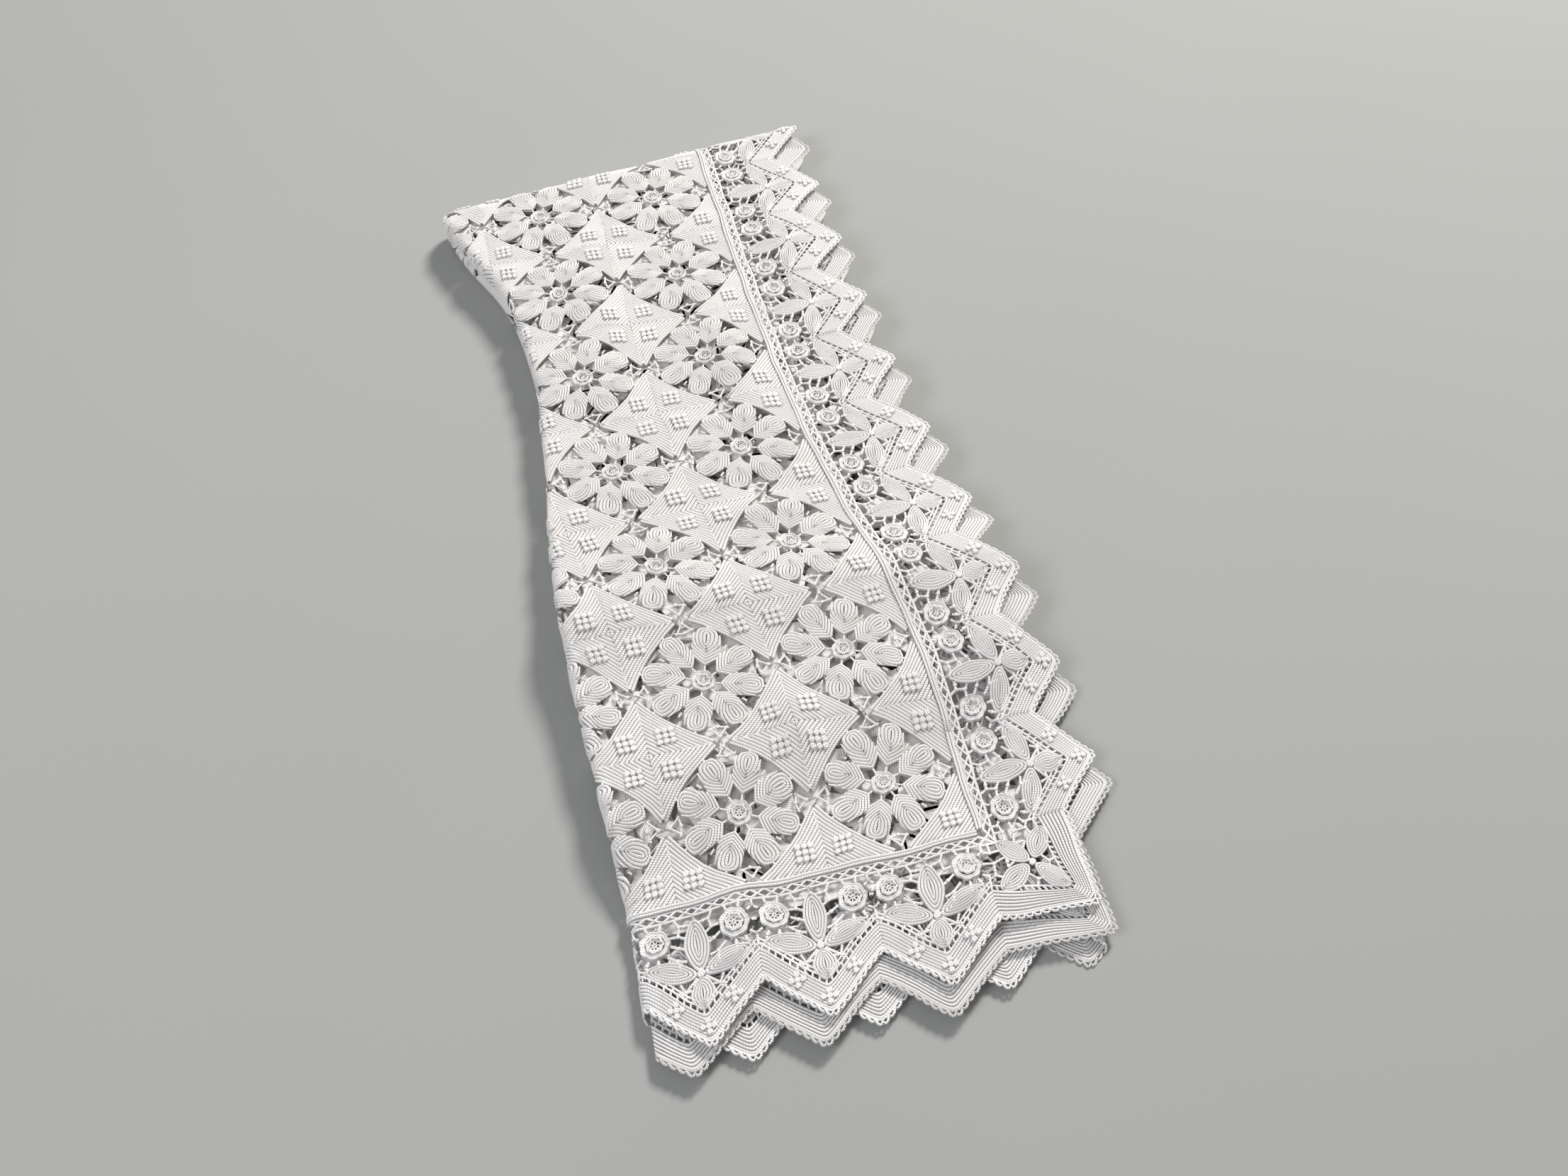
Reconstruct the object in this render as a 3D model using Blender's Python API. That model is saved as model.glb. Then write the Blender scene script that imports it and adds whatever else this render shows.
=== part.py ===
"""Crochet bedspread, folded into a long strip and lying flat, with its far end turned under.

The cloth is worked out flat first and then folded. Flat positions are u across and v along, from the
near right corner of the joined squares, and h above the middle of the cloth. Units are metres, +Z up.
"""
import math

import bpy
import numpy as np
from mathutils import Vector
from mathutils.geometry import delaunay_2d_cdt

# Flat cloth
SQUARE = 0.165  # one crocheted square, from join to join
SQUARES_WIDE = 10
SQUARES_LONG = 12
EDGING = 0.160  # from the edge cord to the tips of the points
THICKNESS = 0.003  # with the ribs
PART_GAP = 0.0003  # between the joined squares and the edging

# Points of the edging
POINTS_WIDE = 13
POINTS_LONG = 16
NOTCH = 0.106  # from the edge cord to the notches between the points
TIP_HALF = 0.009  # half of a point's blunt tip
CORNER_REACH = 0.116  # the corner's lobe reaches this far past the edge cord both ways
CORNER_BLUNT = 0.020  # the lobe's blunt end

# Folding
LAYER_PITCH = 0.0065  # from one layer to the next
LAYERS = 4
FAR_FOLD = 1.140  # where the strip turns under
FOLD_SLANT = 0.12  # the far fold runs this much out of square
UNDER_EDGE_OUT = 0.172  # the second layer's edging reaches this far past the edge cord
INNER_FOLD_OUT = 0.115  # the fold inside the strip's right side lies this far past the cord
SKEW = 0.034  # the last layer lies this much nearer than the first
RAMP = 0.140  # length over which the near end comes down to the surface
RISE_CLEAR = 0.012  # the near end is up this far before the turned-under end begins
SIDE_DROOP = 0.016  # how far the edging sinks where nothing is under it
DROOP_FROM = 0.010  # it starts to sink this far past the inner fold
DROOP_OVER = 0.090
FADE_AT_FOLD = 0.060  # the soft folds fade out over this length at the far fold
USUAL_SEEN = 2.1  # squares seen across where the inner fold lies at INNER_FOLD_OUT
BEND_STEPS = 8
TURN_STEPS = 5

# The strip from its near end to its far fold: how far along, how many squares are seen across,
# and how far sideways the strip lies there.
STRIP_ALONG = (-0.20, 0.00, 0.20, 0.36, 0.50, 0.64, 0.80, 0.94, 1.05, 1.18)
SQUARES_SEEN = (2.24, 2.26, 2.32, 2.24, 2.06, 1.88, 1.80, 1.90, 2.16, 2.34)
SIDEWAYS = (0.012, 0.028, 0.034, 0.020, 0.000, -0.013, -0.018, -0.019, -0.018, -0.018)

# The rounded ridge across the strip, which all the upper layers make
RIDGE_ALONG = 0.345
RIDGE_LEAN = -0.06
RIDGE_HALF_WIDTH = 0.055
RIDGE_RISE = 0.016

# Soft folds of the top layer: middle across and along, direction from across, length, half width, height.
SOFT_FOLDS = (
    (-0.230, 0.440, 6, 0.26, 0.024, 0.009),
    (-0.090, 0.470, -8, 0.22, 0.024, 0.008),
    (-0.165, 0.190, 96, 0.26, 0.022, 0.008),
    (-0.045, 0.700, 94, 0.52, 0.034, 0.012),
    (-0.205, 0.870, 82, 0.46, 0.036, 0.012),
    (0.085, 0.930, 88, 0.40, 0.040, 0.010),
    (0.085, 0.170, 84, 0.34, 0.036, 0.012),
    (-0.270, -0.030, 86, 0.30, 0.034, 0.011),
    (-0.020, -0.075, 94, 0.24, 0.034, 0.010),
)

# Cut gaps of one flower square: distance from its middle and angle, for a gap beside each join and
# one between each pair of leaf tips.
JOIN_GAP = ((0.0440, 3.0), (0.0735, 1.8), (0.0672, 10.6), (0.0567, 10.8))
TIP_GAP = ((0.0385, 0.0), (0.0530, -7.5), (0.0605, -5.5), (0.0605, 5.5), (0.0530, 7.5))
# Cut gaps of one point of the edging: along from its axis, out from the cord, half length, half width, turn.
EDGING_GAPS = (
    (-0.0445, 0.0590, 0.0085, 0.0042, 20),
    (0.0445, 0.0590, 0.0085, 0.0042, -20),
    (-0.0200, 0.0540, 0.0070, 0.0040, -62),
    (0.0200, 0.0540, 0.0070, 0.0040, 62),
    (-0.0230, 0.1020, 0.0080, 0.0036, 52),
    (0.0230, 0.1020, 0.0080, 0.0036, -52),
)
ROWS_CUT = 7
GAP_CLEAR = 0.018  # a gap stays this far from the strip's left fold

COTTON = (0.86, 0.84, 0.81, 1.0)
EDGING_COTTON = (0.88, 0.87, 0.85, 1.0)

FIELD_WIDE = SQUARE * SQUARES_WIDE
FIELD_LONG = SQUARE * SQUARES_LONG
CLOTH_LEFT = -FIELD_WIDE - EDGING
STACK = LAYER_PITCH * (LAYERS - 1)
OUTER_TURN = STACK / 2
INNER_TURN = LAYER_PITCH / 2
FAR_BEND = math.pi * (STACK + INNER_TURN)
LIFT = LAYER_PITCH * LAYERS


def clear_scene():
    for old in list(bpy.data.objects):
        bpy.data.objects.remove(old, do_unlink=True)


def curve_through(values, along):
    """A smooth curve through the strip's stations."""
    at = np.array(STRIP_ALONG)
    values = np.array(values)
    slopes = np.gradient(values, at)
    i = np.clip(np.searchsorted(at, along) - 1, 0, len(at) - 2)
    step = at[i + 1] - at[i]
    t = np.clip((along - at[i]) / step, 0, 1)
    start = (2 * t**3 - 3 * t**2 + 1) * values[i] + (t**3 - 2 * t**2 + t) * step * slopes[i]
    end = (3 * t**2 - 2 * t**3) * values[i + 1] + (t**3 - t**2) * step * slopes[i + 1]
    return start + end


def eased(x):
    x = np.clip(x, 0, 1)
    return x * x * (3 - 2 * x)


def strip_sides(along):
    """The left fold and the inner right fold of the strip, from the edge cord."""
    left = -SQUARE * curve_through(SQUARES_SEEN, along)
    right = INNER_FOLD_OUT + 0.5 * (left + SQUARE * USUAL_SEEN)
    return left, right


def across_fold(u, h, along):
    """The strip's section: four layers in one back-and-forth line. Gives across, height and how far through."""
    left, right = strip_sides(along)
    run = right - left
    ends = np.cumsum(
        [
            math.pi * OUTER_TURN + 0 * run,
            run,
            math.pi * INNER_TURN + 0 * run,
            run,
            math.pi * INNER_TURN + 0 * run,
            UNDER_EDGE_OUT - left,
        ],
        axis=0,
    )
    past = left - u
    through = np.clip(past / (left - CLOTH_LEFT), 0, 1)
    g = through * ends[5]
    outer = np.clip(g, 0, ends[0]) / OUTER_TURN
    turn_right = np.clip(g - ends[1], 0, math.pi * INNER_TURN) / INNER_TURN
    turn_left = np.clip(g - ends[3], 0, math.pi * INNER_TURN) / INNER_TURN
    middle = LAYER_PITCH * 1.5
    conditions = [past <= 0, g < ends[0], g < ends[1], g < ends[2], g < ends[3], g < ends[4]]
    across = np.select(
        conditions,
        [
            u,
            left - (OUTER_TURN + h) * np.sin(outer),
            left + g - ends[0],
            right + (INNER_TURN + h) * np.sin(turn_right),
            right - (g - ends[2]),
            left - (INNER_TURN - h) * np.sin(turn_left),
        ],
        left + g - ends[4],
    )
    height = np.select(
        conditions,
        [
            STACK + h,
            middle + (OUTER_TURN + h) * np.cos(outer),
            -h,
            INNER_TURN - (INNER_TURN + h) * np.cos(turn_right),
            LAYER_PITCH + h,
            middle - (INNER_TURN - h) * np.cos(turn_left),
        ],
        2 * LAYER_PITCH - h,
    )
    return across, height, through


def soft_height(across, along):
    """How far the soft folds lift the top layer."""
    height = 0 * across
    for middle, middle_along, turn, length, half_width, rise in SOFT_FOLDS:
        c = math.cos(math.radians(turn))
        s = math.sin(math.radians(turn))
        dx = across - middle
        dy = along - middle_along
        side = (dy * c - dx * s) / half_width
        end = np.abs(dx * c + dy * s) / (length / 2)
        height = height + rise * np.exp(-side * side) * (1 - eased(end))
    return height


def ridge_height(across, along):
    """The rounded ridge that all layers of the upper stack make across the strip."""
    side = (along - RIDGE_ALONG - RIDGE_LEAN * across) / RIDGE_HALF_WIDTH
    return RIDGE_RISE * np.exp(-side * side)


def far_fold_at(across):
    return FAR_FOLD + FOLD_SLANT * (across + 0.1)


def lie(u, v, h):
    """The strip's section at a point: across, height, how far along it lies, the far fold there and the station."""
    station = v
    for _ in range(4):
        across, height, through = across_fold(u, h, station)
        fold = far_fold_at(across)
        lain = v - SKEW * through
        station = np.where(lain > fold, np.minimum(fold, 2 * fold + FAR_BEND - lain), lain)
    return across, height, lain, fold, station


def folded(u, v, h):
    """Where a point of the flat cloth lies in the folded bedspread."""
    u, v, h = np.broadcast_arrays(np.asarray(u, float), np.asarray(v, float), np.asarray(h, float))
    across, height, v, fold, station = lie(u, v, h)
    turn = math.pi * np.clip((v - fold) / FAR_BEND, 0, 1)
    radius = height + INNER_TURN
    under_end = 2 * fold + FAR_BEND - FIELD_LONG - EDGING
    beyond = v > fold + FAR_BEND
    along = np.where(beyond, 2 * fold + FAR_BEND - v, np.minimum(v, fold) + radius * np.sin(turn))
    lift = LIFT * eased((along - under_end + RAMP) / (RAMP - RISE_CLEAR))
    upper = 1 - eased(turn / math.pi * 4)
    near_fold = eased((fold - along) / FADE_AT_FOLD)
    top_layer = eased((height - 2.3 * LAYER_PITCH) / (0.4 * LAYER_PITCH))
    soft = (soft_height(across, along) * top_layer + ridge_height(across, along)) * upper * near_fold
    _, right = strip_sides(station)
    above_second = eased((height - LAYER_PITCH * 1.4) / LAYER_PITCH * 2)
    loose = eased((across - right - DROOP_FROM) / DROOP_OVER) * above_second
    droop = SIDE_DROOP * loose * (0.5 + 0.5 * lift / LIFT) * upper * near_fold
    bent = LAYER_PITCH * (LAYERS - 0.5) + radius * np.cos(turn)
    z = THICKNESS / 2 + np.where(v <= fold, lift + height, bent) + soft - droop
    x = across + curve_through(SIDEWAYS, along)
    return np.stack([x, along, z], axis=-1)


def turned(points, turn):
    c, s = math.cos(math.radians(turn)), math.sin(math.radians(turn))
    return [(x * c - y * s, x * s + y * c) for x, y in points]


def polar_loop(rows, turn, mirror=1):
    loop = [
        (r * math.cos(math.radians(turn + mirror * a)), r * math.sin(math.radians(turn + mirror * a)))
        for r, a in rows
    ]
    return loop[::mirror]


def seen(loop):
    """Whether a gap lies on the top layer, clear of the left fold and of the far one."""
    points = np.array(loop)
    left, _ = strip_sides(points[:, 1])
    limit = far_fold_at(points[:, 0]) - 0.012
    return bool((points[:, 0] > left + GAP_CLEAR).all() and (points[:, 1] < limit).all())


def flower_gaps():
    """The gaps round each flower on the top layer."""
    loops = []
    for row in range(ROWS_CUT):
        for column in range(3):
            middle = (-SQUARE * (column + 0.5), SQUARE * (row + 0.5))
            one = [polar_loop(JOIN_GAP, 90 * k, side) for k in range(4) for side in (1, -1)]
            one += [polar_loop(TIP_GAP, 45 + 90 * k) for k in range(4)]
            loops += [[(x + middle[0], y + middle[1]) for x, y in loop] for loop in one]
    return [loop for loop in loops if seen(loop)]


def side_frames():
    """The four sides of the edging: start corner, direction, number of points and side length."""
    return (
        ((0.0, 0.0), (0, 1), POINTS_LONG, FIELD_LONG),
        ((0.0, FIELD_LONG), (-1, 0), POINTS_WIDE, FIELD_WIDE),
        ((-FIELD_WIDE, FIELD_LONG), (0, -1), POINTS_LONG, FIELD_LONG),
        ((-FIELD_WIDE, 0.0), (1, 0), POINTS_WIDE, FIELD_WIDE),
    )


def side_point(corner, direction, along, out):
    """A point of the edging, from how far along its side and how far out from the cord it is."""
    return (
        corner[0] + direction[0] * along + direction[1] * out,
        corner[1] + direction[1] * along - direction[0] * out,
    )


def edging_gaps():
    """The gaps of the edging's points along the near end and the right side of the top layer."""
    loops = []
    for corner, direction, count, length in side_frames():
        repeat = length / count
        for k in range(count):
            for along, out, half_long, half_wide, turn in EDGING_GAPS:
                kite = [(-half_long, 0), (0, -half_wide), (half_long, 0), (0, half_wide)]
                loop = [
                    side_point(corner, direction, (k + 0.5) * repeat + along + x, out + y)
                    for x, y in turned(kite, turn)
                ]
                loops.append(loop)
    return [loop for loop in loops if seen(loop)]


def rectangle(grow):
    return [
        (-FIELD_WIDE - grow, -grow),
        (grow, -grow),
        (grow, FIELD_LONG + grow),
        (-FIELD_WIDE - grow, FIELD_LONG + grow),
    ]


def pointed_outline():
    """The edging's outer line: blunt points between notches, and a lobe round each corner."""
    line = []
    for corner, direction, count, length in side_frames():
        repeat = length / count
        for k in range(count):
            middle = (k + 0.5) * repeat
            line.append(side_point(corner, direction, k * repeat, NOTCH))
            line.append(side_point(corner, direction, middle - TIP_HALF, EDGING))
            line.append(side_point(corner, direction, middle + TIP_HALF, EDGING))
        line.append(side_point(corner, direction, length, NOTCH))
        line.append(side_point(corner, direction, length + CORNER_REACH - CORNER_BLUNT, CORNER_REACH))
        line.append(side_point(corner, direction, length + CORNER_REACH, CORNER_REACH - CORNER_BLUNT))
    return line


def rows_along():
    """Places along the cloth where its faces are divided, away from the far fold."""
    near = [-EDGING + 0.004, -NOTCH + 0.002, -SQUARE / 3]
    hilly = [SQUARE * k / 6 for k in range(0, 19)]
    top = [SQUARE * k / 3 for k in range(10, 20)]
    start = FAR_FOLD + FAR_BEND + 0.06
    under = [start + (FIELD_LONG - start) * k / 6 for k in range(7)] + [FIELD_LONG + EDGING / 2]
    return near + hilly + top + under


def fold_columns(along):
    """Places across the cloth where it is divided, at one place along the strip: finely round its three folds."""
    left, right = strip_sides(along)
    run = right - left
    reach = math.pi * (OUTER_TURN + 2 * INNER_TURN) + 2 * run + UNDER_EDGE_OUT - left
    ease = (left - CLOTH_LEFT) / reach
    outer = [math.pi * OUTER_TURN * k / TURN_STEPS for k in range(TURN_STEPS + 1)]
    inner = [math.pi * INNER_TURN * k / TURN_STEPS for k in range(TURN_STEPS + 1)]
    rises = [right + DROOP_FROM, right + DROOP_FROM + DROOP_OVER / 2]
    places = outer + [outer[-1] + run * k / 3 for k in (1, 2)]
    start = outer[-1] + run
    places += [start + g for g in inner] + [start + inner[-1] + run * k / 3 for k in (1, 2)]
    start += inner[-1] + run
    places += [start + g for g in inner]
    start += inner[-1] - left
    places += [start + x for x in (left * 0.6, left * 0.2, *rises)]
    top = rises[::-1] + [0.05, 0.0] + [left * k / 6 for k in range(1, 6)]
    return np.array(top + [left - g * ease for g in places])


def divided_row(row, bend_step=None):
    """One dividing line across the flat cloth: along a row, or at one step of the far fold's bend."""
    count = len(fold_columns(np.float64(0)))
    rows = np.full(count, float(row))
    station = np.clip(rows, -EDGING, FAR_FOLD)
    for _ in range(6):
        u = np.array([fold_columns(s)[k] for k, s in enumerate(station)])
        _, _, lain, fold, station = lie(u, rows, 0.0)
        if bend_step is not None:
            rows = rows + fold + FAR_BEND * bend_step / BEND_STEPS - lain
    return list(zip(u.tolist(), rows.tolist()))


def dividing_lines():
    """Lines along and across the flat cloth that its faces follow, so that it can fold."""
    near = [divided_row(row) for row in rows_along() if row < FAR_FOLD]
    bend = [divided_row(FAR_FOLD, step) for step in range(BEND_STEPS + 1)]
    under = [divided_row(row) for row in rows_along() if row > FAR_FOLD]
    lines = near + bend + under
    rows = [[(EDGING + 0.05, line[0][1]), *line, (CLOTH_LEFT - 0.05, line[-1][1])] for line in lines]
    columns = [[line[k] for line in lines] for k in range(len(lines[0]))]
    near_end, far_end = -EDGING - 0.02, FIELD_LONG + EDGING + 0.02
    return rows + [[(line[0][0], near_end), *line, (line[-1][0], far_end)] for line in columns]


def crossings(points, loops):
    """How many times a ray to the right of each point crosses the loops."""
    count = np.zeros(len(points), int)
    for loop in loops:
        a = np.array(loop)
        b = np.roll(a, -1, axis=0)
        for (ax, ay), (bx, by) in zip(a, b):
            if ay == by:
                continue
            spans = (ay > points[:, 1]) != (by > points[:, 1])
            at = ax + (points[:, 1] - ay) * (bx - ax) / (by - ay)
            count += spans & (points[:, 0] < at)
    return count


def flat_faces(loops):
    """Triangles of the flat cloth inside its outline and outside its gaps."""
    points = []
    edges = []
    for loop in loops:
        start = len(points)
        points += loop
        edges += [(start + k, start + (k + 1) % len(loop)) for k in range(len(loop))]
    for line in dividing_lines():
        start = len(points)
        points += line
        edges += [(start + k, start + k + 1) for k in range(len(line) - 1)]
    verts, _, faces, *_ = delaunay_2d_cdt([Vector(p) for p in points], edges, [], 0, 1e-5, False)
    flat = np.array([tuple(p) for p in verts])
    faces = np.array(faces)
    middles = flat[faces].mean(axis=1)
    faces = faces[crossings(middles, loops) % 2 == 1]
    used, faces = np.unique(faces, return_inverse=True)
    return flat[used], faces.reshape(-1, 3)


def cloth(name, loops, material):
    """A closed sheet of the cloth's thickness, from its flat outline and gaps, folded."""
    flat, faces = flat_faces(loops)
    count = len(flat)
    half = THICKNESS / 2
    top = folded(flat[:, 0], flat[:, 1], half)
    bottom = folded(flat[:, 0], flat[:, 1], -half)
    ends = np.concatenate([faces[:, [0, 1]], faces[:, [1, 2]], faces[:, [2, 0]]])
    both_ways = {(a, b) for a, b in ends.tolist()}
    rim = [(a, b) for a, b in both_ways if (b, a) not in both_ways]
    walls = [(a + count, b + count, b, a) for a, b in sorted(rim)]
    polygons = faces.tolist() + (faces[:, ::-1] + count).tolist() + walls
    mesh = bpy.data.meshes.new(name)
    mesh.from_pydata(np.concatenate([top, bottom]).tolist(), [], polygons)
    mesh.validate()
    mesh.materials.append(material)
    obj = bpy.data.objects.new(name, mesh)
    bpy.context.scene.collection.objects.link(obj)
    return obj


def cotton(name, colour):
    """Matt mercerised cotton yarn."""
    material = bpy.data.materials.new(name)
    material.use_nodes = True
    shader = material.node_tree.nodes["Principled BSDF"]
    shader.inputs["Base Color"].default_value = colour
    shader.inputs["Roughness"].default_value = 0.85
    shader.inputs["Metallic"].default_value = 0.0
    return material


def centre_on_origin(objects):
    """Moves the pieces so that the middle of their box stands on the origin."""
    corners = np.concatenate([np.array([v.co for v in obj.data.vertices]) for obj in objects])
    low, high = corners.min(axis=0), corners.max(axis=0)
    shift = Vector((-(low[0] + high[0]) / 2, -(low[1] + high[1]) / 2, -low[2]))
    for obj in objects:
        obj.location = shift


def main():
    clear_scene()
    field = cloth(
        "joined_squares",
        [rectangle(-PART_GAP / 2)] + flower_gaps(),
        cotton("square_cotton", COTTON),
    )
    edging = cloth(
        "edging",
        [pointed_outline(), rectangle(PART_GAP / 2)] + edging_gaps(),
        cotton("edging_cotton", EDGING_COTTON),
    )
    centre_on_origin([field, edging])


main()
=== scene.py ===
import math

import bpy
import numpy as np
from mathutils import Matrix, Vector


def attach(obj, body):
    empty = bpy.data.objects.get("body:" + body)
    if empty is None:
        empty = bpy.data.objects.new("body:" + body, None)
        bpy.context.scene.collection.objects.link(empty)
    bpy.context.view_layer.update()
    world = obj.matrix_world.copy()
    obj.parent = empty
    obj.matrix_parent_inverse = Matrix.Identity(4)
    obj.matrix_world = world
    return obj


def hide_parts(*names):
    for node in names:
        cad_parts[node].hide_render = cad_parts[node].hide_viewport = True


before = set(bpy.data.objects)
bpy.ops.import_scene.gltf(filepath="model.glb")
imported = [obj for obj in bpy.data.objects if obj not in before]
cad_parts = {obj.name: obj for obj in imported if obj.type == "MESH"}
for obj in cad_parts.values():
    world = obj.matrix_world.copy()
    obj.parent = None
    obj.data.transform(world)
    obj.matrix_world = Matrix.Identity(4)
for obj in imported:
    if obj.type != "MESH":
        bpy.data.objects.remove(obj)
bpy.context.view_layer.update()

# The folded cloth
# The bedspread is one cloth, folded four times across into a long strip, with its far end turned under.
# Its crochet is worked out flat: u across and v along, from the near right corner of the joined squares,
# and h above the middle of the cloth. These values and functions then lay it in its folds.
SQUARE = 0.165  # one crocheted square, from join to join
SQUARES_WIDE = 10
SQUARES_LONG = 12
EDGING = 0.160  # from the edge cord to the tips of the points
THICKNESS = 0.003
LAYER_PITCH = 0.0065
LAYERS = 4
FAR_FOLD = 1.140
FOLD_SLANT = 0.12
UNDER_EDGE_OUT = 0.172
INNER_FOLD_OUT = 0.115
SKEW = 0.034
RAMP = 0.140
RISE_CLEAR = 0.012
SIDE_DROOP = 0.016
DROOP_FROM = 0.010
DROOP_OVER = 0.090
FADE_AT_FOLD = 0.060
USUAL_SEEN = 2.1
STRIP_ALONG = (-0.20, 0.00, 0.20, 0.36, 0.50, 0.64, 0.80, 0.94, 1.05, 1.18)
SQUARES_SEEN = (2.24, 2.26, 2.32, 2.24, 2.06, 1.88, 1.80, 1.90, 2.16, 2.34)
SIDEWAYS = (0.012, 0.028, 0.034, 0.020, 0.000, -0.013, -0.018, -0.019, -0.018, -0.018)
RIDGE_ALONG = 0.345
RIDGE_LEAN = -0.06
RIDGE_HALF_WIDTH = 0.055
RIDGE_RISE = 0.016
# Soft folds of the top layer: middle across and along, direction from across, length, half width, height.
SOFT_FOLDS = (
    (-0.230, 0.440, 6, 0.26, 0.024, 0.009),
    (-0.090, 0.470, -8, 0.22, 0.024, 0.008),
    (-0.165, 0.190, 96, 0.26, 0.022, 0.008),
    (-0.045, 0.700, 94, 0.52, 0.034, 0.012),
    (-0.205, 0.870, 82, 0.46, 0.036, 0.012),
    (0.085, 0.930, 88, 0.40, 0.040, 0.010),
    (0.085, 0.170, 84, 0.34, 0.036, 0.012),
    (-0.270, -0.030, 86, 0.30, 0.034, 0.011),
    (-0.020, -0.075, 94, 0.24, 0.034, 0.010),
)
PLACE = (0.09641922, -0.50203860, 0.0)  # puts the middle of the folded cloth's box on the origin

FIELD_WIDE = SQUARE * SQUARES_WIDE
FIELD_LONG = SQUARE * SQUARES_LONG
CLOTH_LEFT = -FIELD_WIDE - EDGING
STACK = LAYER_PITCH * (LAYERS - 1)
OUTER_TURN = STACK / 2
INNER_TURN = LAYER_PITCH / 2
FAR_BEND = math.pi * (STACK + INNER_TURN)
LIFT = LAYER_PITCH * LAYERS


def eased(x):
    x = np.clip(x, 0, 1)
    return x * x * (3 - 2 * x)


def curve_through(values, along):
    """A smooth curve through the strip's stations."""
    at = np.array(STRIP_ALONG)
    values = np.array(values)
    slopes = np.gradient(values, at)
    i = np.clip(np.searchsorted(at, along) - 1, 0, len(at) - 2)
    step = at[i + 1] - at[i]
    t = np.clip((along - at[i]) / step, 0, 1)
    start = (2 * t**3 - 3 * t**2 + 1) * values[i] + (t**3 - 2 * t**2 + t) * step * slopes[i]
    end = (3 * t**2 - 2 * t**3) * values[i + 1] + (t**3 - t**2) * step * slopes[i + 1]
    return start + end


def strip_sides(along):
    """The left fold and the inner right fold of the strip, from the edge cord."""
    left = -SQUARE * curve_through(SQUARES_SEEN, along)
    return left, INNER_FOLD_OUT + 0.5 * (left + SQUARE * USUAL_SEEN)


def turns_at(along):
    """Where each stretch of the strip's section ends: three turns and the runs between them."""
    left, right = strip_sides(along)
    run = right - left
    outer = math.pi * OUTER_TURN + 0 * run
    inner = math.pi * INNER_TURN + 0 * run
    return left, right, np.cumsum([outer, run, inner, run, inner, UNDER_EDGE_OUT - left], axis=0)


def across_fold(u, h, along):
    """The strip's section, four layers in one back-and-forth line: across, height and how far through."""
    left, right, ends = turns_at(along)
    past = left - u
    through = np.clip(past / (left - CLOTH_LEFT), 0, 1)
    g = through * ends[5]
    outer = np.clip(g, 0, ends[0]) / OUTER_TURN
    turn_right = np.clip(g - ends[1], 0, math.pi * INNER_TURN) / INNER_TURN
    turn_left = np.clip(g - ends[3], 0, math.pi * INNER_TURN) / INNER_TURN
    middle = LAYER_PITCH * 1.5
    conditions = [past <= 0, g < ends[0], g < ends[1], g < ends[2], g < ends[3], g < ends[4]]
    across = np.select(
        conditions,
        [
            u,
            left - (OUTER_TURN + h) * np.sin(outer),
            left + g - ends[0],
            right + (INNER_TURN + h) * np.sin(turn_right),
            right - (g - ends[2]),
            left - (INNER_TURN - h) * np.sin(turn_left),
        ],
        left + g - ends[4],
    )
    height = np.select(
        conditions,
        [
            STACK + h,
            middle + (OUTER_TURN + h) * np.cos(outer),
            -h,
            INNER_TURN - (INNER_TURN + h) * np.cos(turn_right),
            LAYER_PITCH + h,
            middle - (INNER_TURN - h) * np.cos(turn_left),
        ],
        2 * LAYER_PITCH - h,
    )
    return across, height, through


def soft_height(across, along):
    """How far the soft folds lift the top layer."""
    height = 0 * across
    for middle, middle_along, turn, length, half_width, rise in SOFT_FOLDS:
        c = math.cos(math.radians(turn))
        s = math.sin(math.radians(turn))
        dx = across - middle
        dy = along - middle_along
        side = (dy * c - dx * s) / half_width
        end = np.abs(dx * c + dy * s) / (length / 2)
        height = height + rise * np.exp(-side * side) * (1 - eased(end))
    return height


def ridge_height(across, along):
    """The rounded ridge that all layers of the upper stack make across the strip."""
    side = (along - RIDGE_ALONG - RIDGE_LEAN * across) / RIDGE_HALF_WIDTH
    return RIDGE_RISE * np.exp(-side * side)


def far_fold_at(across):
    return FAR_FOLD + FOLD_SLANT * (across + 0.1)


def lie(u, v, h):
    """The strip's section at a point: across, height, how far along it lies, the far fold and the station."""
    station = v
    for _ in range(4):
        across, height, through = across_fold(u, h, station)
        fold = far_fold_at(across)
        lain = v - SKEW * through
        station = np.where(lain > fold, np.minimum(fold, 2 * fold + FAR_BEND - lain), lain)
    return across, height, lain, fold, station


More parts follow.
